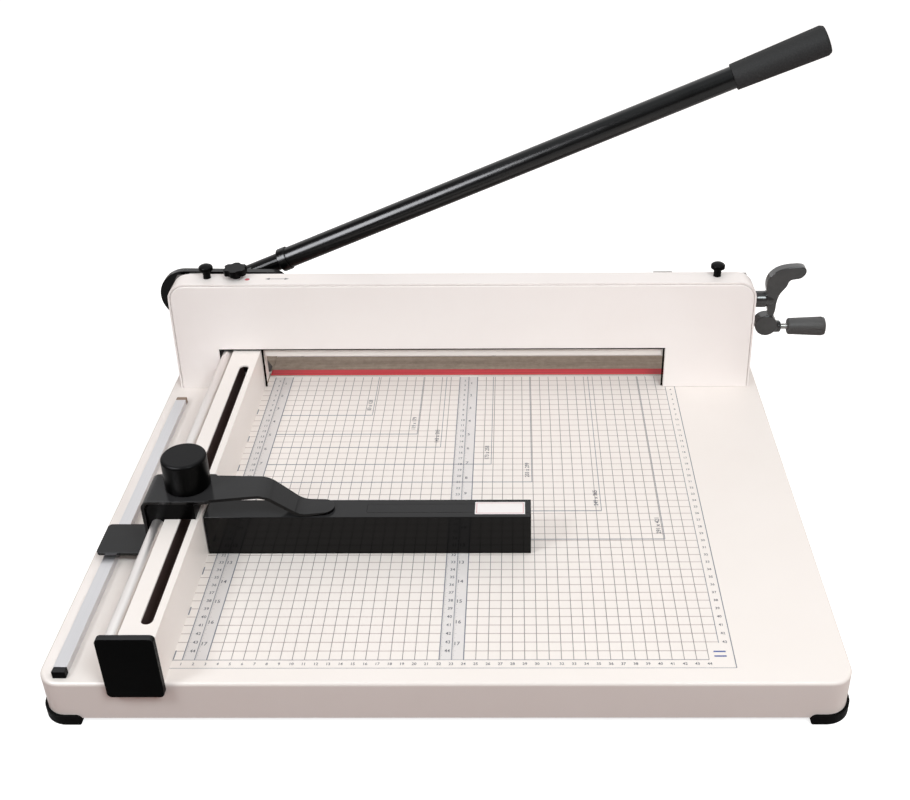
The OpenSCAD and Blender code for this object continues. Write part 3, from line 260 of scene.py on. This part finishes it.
# Shared by all moulded pieces, less leans the mix towards the main colour
mould = {"bloom": 25, "finer": 3, "pebbleShare": 0.5, "bloomShare": 0.4, "less": 0.1,
         "bloomRough": 0.16, "fineRough": 0.08, "pebbleRaise": 0.7, "strength": 0.6}


def moulded(name, look):
    part = Finish(name, Specular_IOR_Level=look["shine"])
    where = part.place()
    pebble = part.add("ShaderNodeTexVoronoi", None, {"Vector": where, "Scale": 1 / (look["grain"] * mm)})
    fine = part.noise(where, look["grain"] / mould["finer"])
    bloom = part.noise(where, mould["bloom"], detail=3)
    faded = pebble * mould["pebbleShare"] + bloom * mould["bloomShare"] - mould["less"]
    shade = part.mix(faded, look["main"], look["pale"])
    # painted sheen on upward faces, as in enamel
    part.colour(part.dusted(shade, bloom, look["topSheen"]))
    part.rough(look["rough"], (bloom, mould["bloomRough"]), (fine, mould["fineRough"]))
    part.bump(pebble.blend(fine, mould["pebbleRaise"]), look["depth"], mould["strength"])
    return part.owner


# Metal with its marks running one way: run is how many marks to a metre along X, Y and Z

steelLook = {"main": srgb(190, 187, 184), "dull": srgb(142, 138, 134), "run": (6, 260, 260),
             "rough": 0.38, "depth": 0.02}
framesLook = {"main": srgb(104, 99, 96), "dull": srgb(64, 60, 58), "run": (60, 60, 12),
              "rough": 0.45, "depth": 0.03}
rodLook = {"main": srgb(243, 239, 236), "dull": srgb(225, 220, 217), "run": (300, 5, 300),
           "rough": 0.42, "depth": 0.006}
railLook = {"main": srgb(232, 231, 233), "dull": srgb(209, 208, 210), "run": (420, 3, 420),
            "rough": 0.36, "depth": 0.015}
bladeLook = {"main": srgb(205, 206, 209), "dull": srgb(170, 171, 175), "run": (420, 40, 9),
             "rough": 0.24, "depth": 0.01}
boltLook = {"main": srgb(74, 73, 72), "dull": srgb(44, 43, 43), "run": (150, 150, 150),
            "rough": 0.42, "depth": 0.03}
bronzeLook = {"main": srgb(186, 148, 92), "dull": srgb(146, 110, 62), "run": (5, 240, 240),
              "rough": 0.33, "depth": 0.01}
marks = {"metre": 1000, "stain": 45, "lineShare": 0.65, "lineRough": 0.25, "stainRough": 0.18,
         "strength": 0.6}


def drawn(name, look):
    metal = Finish(name, Metallic=1.0)
    lines = metal.noise(metal.place(look["run"]), marks["metre"], detail=4, rough=0.65)
    stain = metal.noise(metal.place(), marks["stain"], detail=4, rough=0.6)
    metal.colour(metal.mix(lines.blend(stain, marks["lineShare"]), look["dull"], look["main"]))
    metal.rough(look["rough"], (lines, marks["lineRough"]), (stain, marks["stainRough"]))
    metal.bump(lines, look["depth"], marks["strength"])
    return metal.owner


bedLook = {"main": srgb(196, 178, 160), "dull": srgb(104, 86, 72), "bare": 0.5, "shine": 0.4,
           "run": (5, 90, 90), "stain": 9, "lineShare": 0.5, "contrast": 1.8,
           "rough": 0.5, "stainRough": 0.2, "depth": 0.03}


def bedFinish():  # ground steel gone brown, under the clamp
    bed = Finish("brown_steel", Metallic=bedLook["bare"], Specular_IOR_Level=bedLook["shine"])
    lines = bed.noise(bed.place(bedLook["run"]), marks["metre"], detail=4, rough=0.7)
    stain = bed.noise(bed.place(), bedLook["stain"], detail=5, rough=0.75)
    worn = (lines.blend(stain, bedLook["lineShare"]) - 0.5) * bedLook["contrast"] + 0.5
    bed.colour(bed.mix(worn, bedLook["dull"], bedLook["main"]))
    bed.rough(bedLook["rough"], (stain, bedLook["stainRough"]))
    bed.bump(lines, bedLook["depth"], marks["strength"])
    return bed.owner


stickLook = {"main": srgb(222, 62, 72), "worn": srgb(204, 52, 62), "cut": srgb(150, 34, 44),
             "groove": 0.6, "shine": 0.35, "run": (8, 120, 120), "rough": 0.5, "smearRough": 0.2,
             "smearRaise": 0.3, "depth": 0.1, "strength": 0.7}


def stickFinish():  # soft plastic bar with the blade's cut line along it
    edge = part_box("blade")[0].y
    stick = Finish("red_stick", Specular_IOR_Level=stickLook["shine"])
    across = stick.part(stick.place(), "Y")
    smear = stick.noise(stick.place(stickLook["run"]), marks["metre"], detail=4)
    groove = abs(across - edge) < stickLook["groove"] * mm / 2
    body = stick.mix(smear, stickLook["main"], stickLook["worn"])
    stick.colour(stick.mix(groove, body, stickLook["cut"]))
    stick.rough(stickLook["rough"], (smear, stickLook["smearRough"]))
    stick.bump(smear * stickLook["smearRaise"] - groove, stickLook["depth"], stickLook["strength"])
    return stick.owner


inkLook = {"patch": 18, "thinned": 0.9, "rough": 0.5, "shine": 0.3}


def inkFinish(name, colour, thin):  # printing ink, thinner in places
    ink = Finish(name, Roughness=inkLook["rough"], Specular_IOR_Level=inkLook["shine"])
    patch = ink.noise(ink.place(), inkLook["patch"], detail=3)
    ink.colour(ink.mix(patch * inkLook["thinned"], colour, thin))
    return ink.owner


finishes = {
    "cream": enamel("cream_enamel", creamLook),
    "cover": enamel("cover_enamel", litCreamLook),
    "fence": enamel("fence_enamel", creamLook, fenceHollow()),
    "black": enamel("black_enamel", blackLook),
    "tube": enamel("tube_enamel", tubeLook),
    "cast": enamel("cast_enamel", castLook),
    "plastic": moulded("satin_plastic", plasticLook),
    "slip": moulded("gloss_plastic", slipLook),
    "grip": moulded("grip_rubber", gripLook),
    "crank": moulded("crank_plastic", crankLook),
    "foot": moulded("foot_rubber", footLook),
    "plug": moulded("brown_plastic", plugLook),
    "steel": drawn("ground_steel", steelLook),
    "rod": drawn("polished_steel", rodLook),
    "rail": drawn("satin_aluminium", railLook),
    "blade": drawn("blade_steel", bladeLook),
    "frames": drawn("blued_steel", framesLook),
    "bolt": drawn("oiled_steel", boltLook),
    "bronze": drawn("bush_bronze", bronzeLook),
    "bed": bedFinish(),
    "stick": stickFinish(),
    "gridInk": inkFinish("grid_ink", srgb(126, 124, 127), srgb(158, 153, 153)),
    "faintInk": inkFinish("faint_ink", srgb(172, 158, 157), srgb(194, 180, 177)),
    "ruleInk": inkFinish("rule_ink", srgb(108, 113, 126), srgb(140, 144, 154)),
    "bandInk": inkFinish("band_ink", srgb(222, 219, 219), srgb(229, 224, 222)),
    "figureInk": inkFinish("figure_ink", srgb(92, 94, 102), srgb(124, 125, 132)),
    "barInk": inkFinish("bar_ink", srgb(82, 98, 156), srgb(104, 118, 168)),
    "label": inkFinish("label_paper", srgb(240, 236, 236), srgb(232, 228, 228)),
    "labelInk": inkFinish("label_ink", srgb(206, 140, 146), srgb(220, 170, 174)),
    "redInk": inkFinish("red_ink", srgb(206, 92, 104), srgb(216, 120, 128)),
    "greyInk": inkFinish("grey_ink", srgb(118, 116, 118), srgb(146, 144, 146)),
}
print("finishes", len(finishes))

# CAD nodes: their finish and how far their edges are broken, in millimetres

dress = {
    "cream": {"base_tray": 0, "clamp_bar": 0.6},
    "cover": {"housing_body": 0.6, "front_cover": 1.0},
    "fence": {"side_fence": 0.8},
    "foot": {"foot_front_left": 0.6, "foot_front_right": 0.6, "foot_rear_left": 0.6, "foot_rear_right": 0.6,
             "rail_shoe": 0.3},
    "bed": {"bed_bar": 0.3},
    "frames": {"left_frame": 0.5},
    "steel": {"right_frame": 0.5, "left_keeper": 0.4, "right_keeper": 0.4, "guide_plate": 0.4,
              "bed_screws": 0, "screw_lugs": 0.5, "rack_guides": 0.4, "blade_carrier": 0.5,
              "left_rack": 0, "right_rack": 0, "crank_gear": 0, "layshaft_gear": 0, "clamp_pinions": 0,
              "drive_pin": 0.5, "gauge_nut": 0.4, "grip_spindle": 0.3},
    "bolt": {"keeper_screws": 0, "frame_bolts": 0.3, "table_screws": 0.3, "pivot_bolt": 0.8,
             "blade_bolts": 0.3, "rod_bracket": 0.8},
    "blade": {"blade": 0},
    "rod": {"guide_rod": 0.5, "crank_shaft": 0.5, "layshaft": 0.5},
    "bronze": {"shaft_bushes": 0.3, "hub_bush": 0.3},
    "stick": {"cutting_stick": 0.2},
    "rail": {"scale_rail": 0.4},
    "plug": {"rail_rear_plug": 0.5},
    "black": {"gauge_bar": 0.7, "gauge_strip": 0.1, "gauge_bracket": 0.8, "lever_hub": 1.2},
    "tube": {"lever_tube": 0.3, "lever_collar": 0.8},
    "cast": {"crank_arm": 0},
    "slip": {"fence_end_cap": 0.9, "bar_end_plugs": 0.3, "rail_front_plug": 0.5},
    "plastic": {"rod_slider": 0.8, "gauge_knob": 0.6, "lock_knob": 0.8,
                "thumb_screw_left": 0.6, "thumb_screw_right": 0.6},
    "crank": {"crank_grip": 0.5},
    "grip": {"lever_grip": 1.0},
}
edges = {"weld": 0.001, "flat": 0.6, "bend": 35, "rows": 3}  # weld in millimetres, flat and bend in degrees


def breakEdges(piece, width):
    weld = piece.modifiers.new("weld", "WELD")
    weld.merge_threshold = edges["weld"] * mm
    flat = piece.modifiers.new("flat", "DECIMATE")
    flat.decimate_type = "DISSOLVE"
    flat.angle_limit = math.radians(edges["flat"])
    edge = piece.modifiers.new("edge", "BEVEL")
    edge.width = width * mm
    edge.segments = edges["rows"]
    edge.limit_method = "ANGLE"
    edge.angle_limit = math.radians(edges["bend"])
    edge.harden_normals = True
    even = piece.modifiers.new("even", "WEIGHTED_NORMAL")
    even.keep_sharp = True


def wear(piece, finish):
    piece.data.materials.clear()
    piece.data.materials.append(finishes[finish])


for finish, members in dress.items():
    for name, width in members.items():
        wear(nodes[name], finish)
        if width:
            breakEdges(nodes[name], width)
print("dressed", sum(len(m) for m in dress.values()), "of", len(nodes), "nodes")


def shaped(mesh, name, finish, body):  # a new piece out of a finished mesh, carried by a body
    data = bpy.data.meshes.new(name)
    mesh.to_mesh(data)
    mesh.free()
    piece = bpy.data.objects.new(name, data)
    scene.collection.objects.link(piece)
    wear(piece, finish)
    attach(piece, body)
    return piece


# Print on the table: a grid in centimetres, two scale bands, paper sizes and a ruled border

printed = {"lift": 0.03, "pitch": 10, "inch": 25.4,
           "left": -215.25, "right": 214.75, "front": 26, "back": 464,
           "bands": ((-215.25, -195.25), (-5.25, 14.75)), "bandWeights": (1.3, 1.0, 1.6),
           "line": 0.58, "fine": 0.75, "tick": 0.2, "ticks": (1.4, 2.2, 3.2),
           "borderRight": 235.75, "borderFront": 17, "borderWeight": 1.3, "rowWeight": 0.8,
           "innerRight": 225.3, "innerFront": 45}
scales = {"zero": 476, "centimetres": (2, 44), "inches": (1, 17)}  # both count from a line along the stick

# Figures: size in millimetres, the other sizes times that; In is from a band's left edge or middle
figureLook = {"size": 4.0, "bold": 0.012, "centimetreIn": 6.2, "centimetreSize": 1.15,
              "inchIn": 3.6, "inchSize": 1.4, "paperLeft": 4.4, "paperUp": 20, "paperSize": 1.5}

# Paper sizes: their corners on the table, and the corner that they are counted from
papers = {"corners": ((-97.25, 386), (-46.25, 350), (-20.25, 326), (32.75, 296), (73.75, 266),
                      (139.75, 220), (195.75, 178)),
          "zero": (-225.5, 469), "weight": 1.8}

strokes = {"off": 0.8, "front": 26.7, "pitch": 51.7, "long": 10, "line": 1.0}  # along the foot of the fence
flag = {"rows": (30, 35.2), "left": 219.6, "right": 229.6, "line": 1.6}  # two blue bars in the corner
fenceFace = (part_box("side_fence")[1].x - frontEdge.x) / mm


class Sheet:  # a flat mesh of printed strips, a hair above what it is printed on
    def __init__(self, z):
        self.mesh = bmesh.new()
        self.up = Vector((0, 0, z))

    def outline(self, points):
        self.mesh.faces.new([self.mesh.verts.new(spot(x, y) + self.up) for x, y in points])

    def strip(self, x0, y0, x1, y1):
        self.outline(((x0, y0), (x1, y0), (x1, y1), (x0, y1)))

    def across(self, y, x0, x1, line):
        self.strip(x0, y - line / 2, x1, y + line / 2)

    def along(self, x, y0, y1, line):
        self.strip(x - line / 2, y0, x + line / 2, y1)

    def figure(self, words, x, y, scale=1.0, turn=0.0):
        size = figureLook["size"] * scale * mm
        face = bpy.data.curves.new("figure", "FONT")
        face.body = words
        face.size = size
        face.offset = figureLook["bold"] * size
        face.align_x = "CENTER"
        face.align_y = "CENTER"
        face.resolution_u = 2
        holder = bpy.data.objects.new("figure", face)
        scene.collection.objects.link(holder)
        flat = holder.to_mesh()
        turned = Matrix.Translation(spot(x, y) + self.up) @ Matrix.Rotation(turn, 4, "Z")
        corners = [self.mesh.verts.new(turned @ v.co) for v in flat.vertices]
        for polygon in flat.polygons:
            self.mesh.faces.new([corners[i] for i in polygon.vertices])
        holder.to_mesh_clear()
        bpy.data.objects.remove(holder)
        bpy.data.curves.remove(face)

    def finished(self, name, finish, body):
        shaped(self.mesh, name, finish, body)


def steps(first, last, pitch):
    return [first + pitch * k for k in range(int(round((last - first) / pitch)) + 1)]


def counted(kind):
    first, last = scales[kind]
    return range(first, last + 1)


def layer(n):  # the nth ink on the table
    return tableTop + n * printed["lift"] * mm


def printBands():
    bands = Sheet(layer(1))
    for x0, x1 in printed["bands"]:
        bands.strip(x0, printed["front"], x1, printed["back"])
    bands.finished("table_bands", "bandInk", "frame")


def printGrid():
    front, back = printed["front"], printed["back"]
    grid = Sheet(layer(2))
    for x in steps(printed["left"], printed["right"], printed["pitch"]):
        if not any(x0 < x < x1 for x0, x1 in printed["bands"]):
            grid.along(x, front, back, printed["line"])
    for x0, x1 in printed["bands"]:
        for k, y in enumerate(steps(front, back, 1)):  # a tick to a millimetre, longer at 5 and at 10
            reach = printed["ticks"][(k % 5 == 0) + (k % 10 == 0)]
            for x in (x0, (x0 + x1) / 2):
                grid.across(y, x, x + reach, printed["tick"])
    grid.finished("table_grid", "gridInk", "frame")


def printCrossLines():
    lines = Sheet(layer(2))
    for y in steps(printed["front"], printed["back"], printed["pitch"]):
        last = printed["innerRight"] if y > printed["innerFront"] else printed["right"]
        ends = [fenceFace] + [x for band in printed["bands"] for x in band] + [last]
        for x0, x1 in zip(ends[::2], ends[1::2]):
            lines.across(y, x0, x1, printed["fine"])
    lines.finished("table_cross_lines", "faintInk", "frame")


def printRules():
    front, back, line = printed["front"], printed["back"], printed["line"]
    row = printed["rowWeight"] * line
    rules = Sheet(layer(3))
    rules.along(printed["borderRight"], printed["borderFront"], back, printed["borderWeight"] * line)
    rules.along(printed["innerRight"], printed["innerFront"], back, line)
    rules.across(printed["borderFront"], fenceFace, printed["borderRight"], row)
    rules.across(front, fenceFace, printed["right"], row)
    for x0, x1 in printed["bands"]:
        for x, weight in zip((x0, (x0 + x1) / 2, x1), printed["bandWeights"]):
            rules.along(x, front, back, weight * line)
    for y in steps(strokes["front"], back - strokes["pitch"], strokes["pitch"]):
        rules.along(fenceFace + strokes["off"], y, y + strokes["long"], strokes["line"])
    for x, y in papers["corners"]:
        rules.along(x, y, back, line)
        rules.across(y, printed["bands"][0][1], x, papers["weight"] * line)
    rules.finished("table_rules", "ruleInk", "frame")


def printFlag():
    bars = Sheet(layer(3))
    for y in flag["rows"]:
        bars.across(y, flag["left"], flag["right"], flag["line"])
    bars.finished("table_bars", "barInk", "frame")


def printFigures():
    figures = Sheet(layer(4))
    row = (printed["front"] + printed["borderFront"]) / 2
    for k, x in enumerate(steps(printed["left"], printed["right"], printed["pitch"])):
        figures.figure(str(k + 1), x, row)
    column = (printed["innerRight"] + printed["borderRight"]) / 2
    for n in counted("centimetres"):
        y = scales["zero"] - n * printed["pitch"]
        if y > printed["innerFront"]:
            figures.figure(str(n), column, y)
        for band in printed["bands"]:
            figures.figure(str(n), band[0] + figureLook["centimetreIn"], y, figureLook["centimetreSize"])
    for n in counted("inches"):
        y = scales["zero"] - n * printed["inch"]
        for band in printed["bands"]:
            figures.figure(str(n), sum(band) / 2 + figureLook["inchIn"], y, figureLook["inchSize"])
    zeroX, zeroY = papers["zero"]
    for x, y in papers["corners"]:
        paper = "%d x %d" % (round(zeroY - y), round(x - zeroX))
        figures.figure(paper, x - figureLook["paperLeft"], y + figureLook["paperUp"],
                       figureLook["paperSize"], math.pi / 2)
    figures.finished("table_figures", "figureInk", "frame")


printBands()
printGrid()
printCrossLines()
printRules()
printFlag()
printFigures()
print("printed the table")

# Blank label on the gauge bar

label = {"x": 43.5, "y": 170.7, "wide": 45, "deep": 17.5, "rim": 1.5, "line": 0.5, "lift": 0.1}


def gaugeLabel():
    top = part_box("gauge_strip")[1].z
    x0, x1 = label["x"] - label["wide"] / 2, label["x"] + label["wide"] / 2
    y0, y1 = label["y"] - label["deep"] / 2, label["y"] + label["deep"] / 2
    paper = Sheet(top + label["lift"] * mm)
    paper.strip(x0, y0, x1, y1)
    paper.finished("gauge_label", "label", "gauge")
    rim = Sheet(top + 2 * label["lift"] * mm)
    inner, line = label["rim"], label["line"]
    for y in (y0 + inner, y1 - inner):
        rim.across(y, x0 + inner, x1 - inner, line)
    for x in (x0 + inner, x1 - inner):
        rim.along(x, y0 + inner, y1 - inner, line)
    rim.finished("label_rim", "labelInk", "gauge")


gaugeLabel()
print("labelled the gauge")

# Marks beside the lock knob: a red dot for locked, a grey arrow for free

lockMarks = {"lift": 0.1, "dot": (13, -5), "dotRadius": 2.6, "dotSides": 24,
             "arrow": (32, 58), "back": -4, "head": 5, "wide": 2.2, "shaft": 1}


def markLock():
    low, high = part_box("lock_knob")
    centre = ((low + high) / 2 - frontEdge) / mm
    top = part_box("housing_body")[1].z + lockMarks["lift"] * mm
    dot = Sheet(top)
    x, y = centre.x + lockMarks["dot"][0], centre.y + lockMarks["dot"][1]
    radius = lockMarks["dotRadius"]
    dot.outline([(x + radius * math.cos(a), y + radius * math.sin(a)) for a in turns(lockMarks["dotSides"])])
    dot.finished("lock_dot", "redInk", "frame")
    arrow = Sheet(top)
    y = centre.y + lockMarks["back"]
    x0, x1 = (centre.x + x for x in lockMarks["arrow"])
    head, wide = lockMarks["head"], lockMarks["wide"]
    arrow.across(y, x0 + head, x1 - head, lockMarks["shaft"])
    arrow.outline(((x0, y), (x0 + head, y - wide), (x0 + head, y + wide)))
    arrow.outline(((x1, y), (x1 - head, y + wide), (x1 - head, y - wide)))
    arrow.finished("lock_arrow", "greyInk", "frame")


markLock()
print("marked the lock")

# Cast crank arm, rounder than its CAD node
# The outline and the elbow are placed across and above the shaft; collar and neck are along X, with a radius

casting = {"outline": ((-0.7, -12), (-2.4, -2), (-2.9, 6), (-5, 18), (-2.8, 27.8), (4.4, 35.5),
                       (14.6, 39.4), (28, 40.6), (34.6, 38.6), (35.6, 33), (30.7, 27), (20, 24.4),
                       (16.6, 17), (10.5, 8), (8, -1.5), (7, -14), (3, -24)),
           "thick": 11, "armEnd": 40.1, "elbow": (-0.9, -30), "elbowRadius": 12, "elbowThick": 14,
           "collar": ((-15.6, 8.4), (-15, 9), (-4, 9), (-3, 8), (7, 5.4), (8.6, 3.4)),
           "neck": ((-4, 6.6), (12, 6.6), (15, 6.4), (16.2, 5.2)),
           "sides": 40, "voxel": 0.55, "rounds": 10}


def smoothLoop(points, each=6):  # a closed curve through all the points
    loop = []
    for k in range(len(points)):
        a, b, c, d = (Vector(points[(k + step) % len(points)]) for step in (-1, 0, 1, 2))
        for step in range(each):
            t = step / each
            bend = (2 * a - 5 * b + 4 * c - d) * t ** 2
            twist = (3 * b - a - 3 * c + d) * t ** 3
            loop.append(0.5 * (2 * b + (c - a) * t + bend + twist))
    return loop


def turnAlong(mesh, start, profile):  # a closed turned shape along X
    rings = []
    for along, radius in profile:
        ring = []
        for a in turns(casting["sides"]):
            point = Vector((along, radius * math.cos(a), radius * math.sin(a)))
            ring.append(mesh.verts.new(start + point * mm))
        rings.append(ring)
    for near, far in zip(rings, rings[1:]):
        for k in range(len(near)):
            mesh.faces.new((near[k], near[k - 1], far[k - 1], far[k]))
    mesh.faces.new(rings[0])
    mesh.faces.new(rings[-1][::-1])


def slab(mesh, start, loop, thick):  # a closed plate across Y
    faces = []
    for y in (-thick / 2, thick / 2):
        faces.append([mesh.verts.new(start + Vector((p.x, y, p.y)) * mm) for p in loop])
    front, back = faces
    mesh.faces.new(front)
    mesh.faces.new(back[::-1])
    for k in range(len(loop)):
        mesh.faces.new((front[k], front[k - 1], back[k - 1], back[k]))


def castCrank():
    shaftLow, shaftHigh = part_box("crank_shaft")
    gripLow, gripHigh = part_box("crank_grip")
    middle = (shaftLow + shaftHigh) / 2
    axis = Vector((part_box("crank_arm")[1].x - casting["armEnd"] * mm, middle.y, middle.z))
    gripAxis = Vector((axis.x, middle.y, (gripLow.z + gripHigh.z) / 2))
    across, above = casting["elbow"]
    radius = casting["elbowRadius"]
    elbow = [Vector((across + radius * math.cos(a), above + radius * math.sin(a)))
             for a in turns(casting["sides"])]
    mesh = bmesh.new()
    slab(mesh, axis, smoothLoop(casting["outline"]), casting["thick"])
    slab(mesh, axis, elbow, casting["elbowThick"])
    turnAlong(mesh, axis, casting["collar"])
    turnAlong(mesh, gripAxis, casting["neck"])
    bmesh.ops.recalc_face_normals(mesh, faces=mesh.faces)
    arm = shaped(mesh, "crank_casting", "cast", "crank")
    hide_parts("crank_arm")
    merge = arm.modifiers.new("merge", "REMESH")
    merge.mode = "VOXEL"
    merge.voxel_size = casting["voxel"] * mm
    merge.use_smooth_shade = True
    soften = arm.modifiers.new("soften", "SMOOTH")
    soften.iterations = casting["rounds"]


castCrank()
print("cast the crank arm")


def blocks(name, boxes, soft, finish):  # boxes with soft edges, fixed to the frame
    mesh = bmesh.new()
    for x0, x1, y0, y1, z0, z1 in boxes:
        made = bmesh.ops.create_cube(mesh, size=1)["verts"]
        bmesh.ops.scale(mesh, vec=Vector((x1 - x0, y1 - y0, z1 - z0)) * mm, verts=made)
        bmesh.ops.translate(mesh, vec=spot((x0 + x1) / 2, (y0 + y1) / 2, (z0 + z1) / 2), verts=made)
    bmesh.ops.bevel(mesh, geom=mesh.edges[:], offset=soft * mm, segments=2, affect="EDGES")
    shaped(mesh, name, finish, "frame")


# Painted shade: dark strips where the throat's shadow gap falls, over the clamp and at both of its ends

throatShadow = {"left": -269.3, "right": 222.3, "front": 442.2, "back": 444.4, "top": 95, "drop": 1.1, "air": 0.05,
          "ends": (-222.3, 221.3), "wide": 1.8, "endBack": 446, "foot": 0.3, "soft": 0.25}


def lineThroat():
    top = throatShadow["top"]
    foot = tableTop / mm + throatShadow["foot"]
    half = throatShadow["wide"] / 2
    boxes = [(throatShadow["left"], throatShadow["right"], throatShadow["front"], throatShadow["back"],
              top - throatShadow["drop"], top - throatShadow["air"])]
    for x in throatShadow["ends"]:
        boxes.append((x - half, x + half, throatShadow["back"], throatShadow["endBack"], foot, top))
    # painted shade: dark strips standing for the shadow in the throat's gap
    blocks("throat_shadow_strips", boxes, throatShadow["soft"], "slip")


# Thin steel plates on the tray that carry the bed's look on to the left of the stick

endPlates = {"x": (-223.8, -222.5), "spans": ((446.3, 472.8), (477.8, 488.9)),
             "rear": (-236, -222.5, 489.3, 519.5), "under": 0.02, "thick": 0.4, "soft": 0.12}


def layEndPlates():
    z = (tableTop / mm + endPlates["under"], tableTop / mm + endPlates["thick"])
    boxes = [endPlates["x"] + span + z for span in endPlates["spans"]]
    boxes.append(endPlates["rear"] + z)
    blocks("bed_end_plates", boxes, endPlates["soft"], "bed")


lineThroat()
layEndPlates()
print("lined the throat")

# Studio: a mirrored ray sees a dim room, as bright as room, that brightens to 1 towards the back
# roomFrom and roomTo are the Y of the ray's direction where that starts and ends

studio = {"sky": 0.46, "warm": (1, 0.88, 0.83, 1), "white": (1, 1, 1, 1),
          "room": 0.08, "roomFrom": 0.15, "roomTo": 0.75,
          "floorSeen": (0.62, 0.62, 0.62, 1), "floorBounce": (0.11, 0.012, 0.004, 1),
          "glow": 0.78, "size": 14}

# A lamp that only lights leaves no reflection, one that only shines leaves nothing else
lamps = {
    "main": {"place": (650, -800, 1450), "aim": (60, 260, 60), "wide": 700, "power": 15.5,
             "tint": (0.9, 0.98, 1), "lights": True, "shines": True},
    "left": {"place": (-850, -420, 1060), "aim": (0, 300, 100), "wide": 370, "power": 5.2,
             "tint": (0.92, 0.98, 1), "lights": True, "shines": False},
    "streak": {"place": (-776, -300, 862), "aim": (-117, 460, 223), "wide": 760, "power": 20,
               "tint": (0.95, 0.96, 1), "lights": False, "shines": True},
    "right": {"place": (1900, 60, 480), "aim": (0, 260, 60), "wide": 500, "power": 6.2,
              "tint": (1, 0.95, 0.9), "lights": True, "shines": False},
    "back": {"place": (100, 500, 1200), "aim": (100, 400, 60), "wide": 1400, "power": 2.6,
             "tint": (0.92, 0.98, 1), "lights": True, "shines": True},
}


def lightWorld():
    world = Web(bpy.data.worlds.new("studio"))
    scene.world = world.owner
    world.tree.nodes.clear()
    behind = world.part(world.add("ShaderNodeTexCoord", out="Generated"), "Y")
    room = world.add("ShaderNodeMapRange", {"interpolation_type": "SMOOTHSTEP"},
                     {"Value": behind, "From Min": studio["roomFrom"], "From Max": studio["roomTo"],
                      "To Min": studio["room"], "To Max": 1})
    camera = world.ray("Camera")
    mirrored = world.ray("Glossy").most(world.ray("Transmission"))
    strength = camera + (1 - camera) * (mirrored * room + (1 - mirrored) * studio["sky"])
    tint = world.mix(camera.most(mirrored), studio["warm"], studio["white"])
    sky = world.add("ShaderNodeBackground", None, {"Color": tint, "Strength": strength})
    world.add("ShaderNodeOutputWorld", None, {"Surface": sky})


def hangLamps():
    for name, lamp in lamps.items():
        data = bpy.data.lights.new(name, "AREA")
        data.energy = lamp["power"]
        data.shape = "DISK"
        data.size = lamp["wide"] * mm
        data.color = lamp["tint"]
        light = bpy.data.objects.new(name, data)
        light.visible_diffuse = lamp["lights"]
        light.visible_glossy = lamp["shines"]
        light.location = spot(*lamp["place"])
        towards = spot(*lamp["aim"]) - light.location
        light.rotation_euler = towards.to_track_quat("-Z", "Y").to_euler()
        scene.collection.objects.link(light)


def layFloor():
    half = studio["size"] / 2
    corners = [(-half, -half, 0), (half, -half, 0), (half, half, 0), (-half, half, 0)]
    data = bpy.data.meshes.new("floor")
    data.from_pydata(corners, [], [(0, 1, 2, 3)])
    floor = bpy.data.objects.new("floor", data)
    scene.collection.objects.link(floor)
    pale = Web(bpy.data.materials.new("pale_floor"))
    pale.tree.nodes.clear()
    camera = pale.ray("Camera")
    shown = camera.most(pale.ray("Glossy")).most(pale.ray("Transmission"))
    shade = pale.mix(shown, studio["floorBounce"], studio["floorSeen"])
    paint = pale.add("ShaderNodeBsdfDiffuse", None, {"Color": shade})
    glow = pale.add("ShaderNodeEmission", None, {"Strength": camera * studio["glow"]})
    both = pale.add("ShaderNodeAddShader", None, {0: paint, 1: glow})
    pale.add("ShaderNodeOutputMaterial", None, {"Surface": both})
    data.materials.append(pale.owner)


# The photograph's view: angles in degrees, focal length and middle of the picture in its pixels,
# sensor in millimetres, reach in metres

view = {"place": (58.45, -659.34, 740.6), "tilt": 31, "turn": -0.632, "roll": 0.516,
        "focal": 1160.35, "across": 505.11, "down": 361.44, "wide": 910, "high": 800,
        "sensor": 36, "reach": 100}


def setCamera():
    data = bpy.data.cameras.new("photo")
    data.sensor_fit = "HORIZONTAL"
    data.sensor_width = view["sensor"]
    data.lens = view["sensor"] * view["focal"] / view["wide"]
    data.shift_x = (view["wide"] / 2 - view["across"]) / view["wide"]
    data.shift_y = (view["down"] - view["high"] / 2) / view["wide"]
    data.clip_end = view["reach"]
    turned = (Matrix.Rotation(math.radians(-view["turn"]), 4, "Z")
              @ Matrix.Rotation(math.radians(90 - view["tilt"]), 4, "X")
              @ Matrix.Rotation(math.radians(-view["roll"]), 4, "Z"))
    camera = bpy.data.objects.new("photo", data)
    camera.matrix_world = Matrix.Translation(spot(*view["place"])) @ turned
    scene.collection.objects.link(camera)
    scene.camera = camera


lightWorld()
hangLamps()
layFloor()
setCamera()
scene.view_settings.view_transform = "Standard"
print("studio ready")
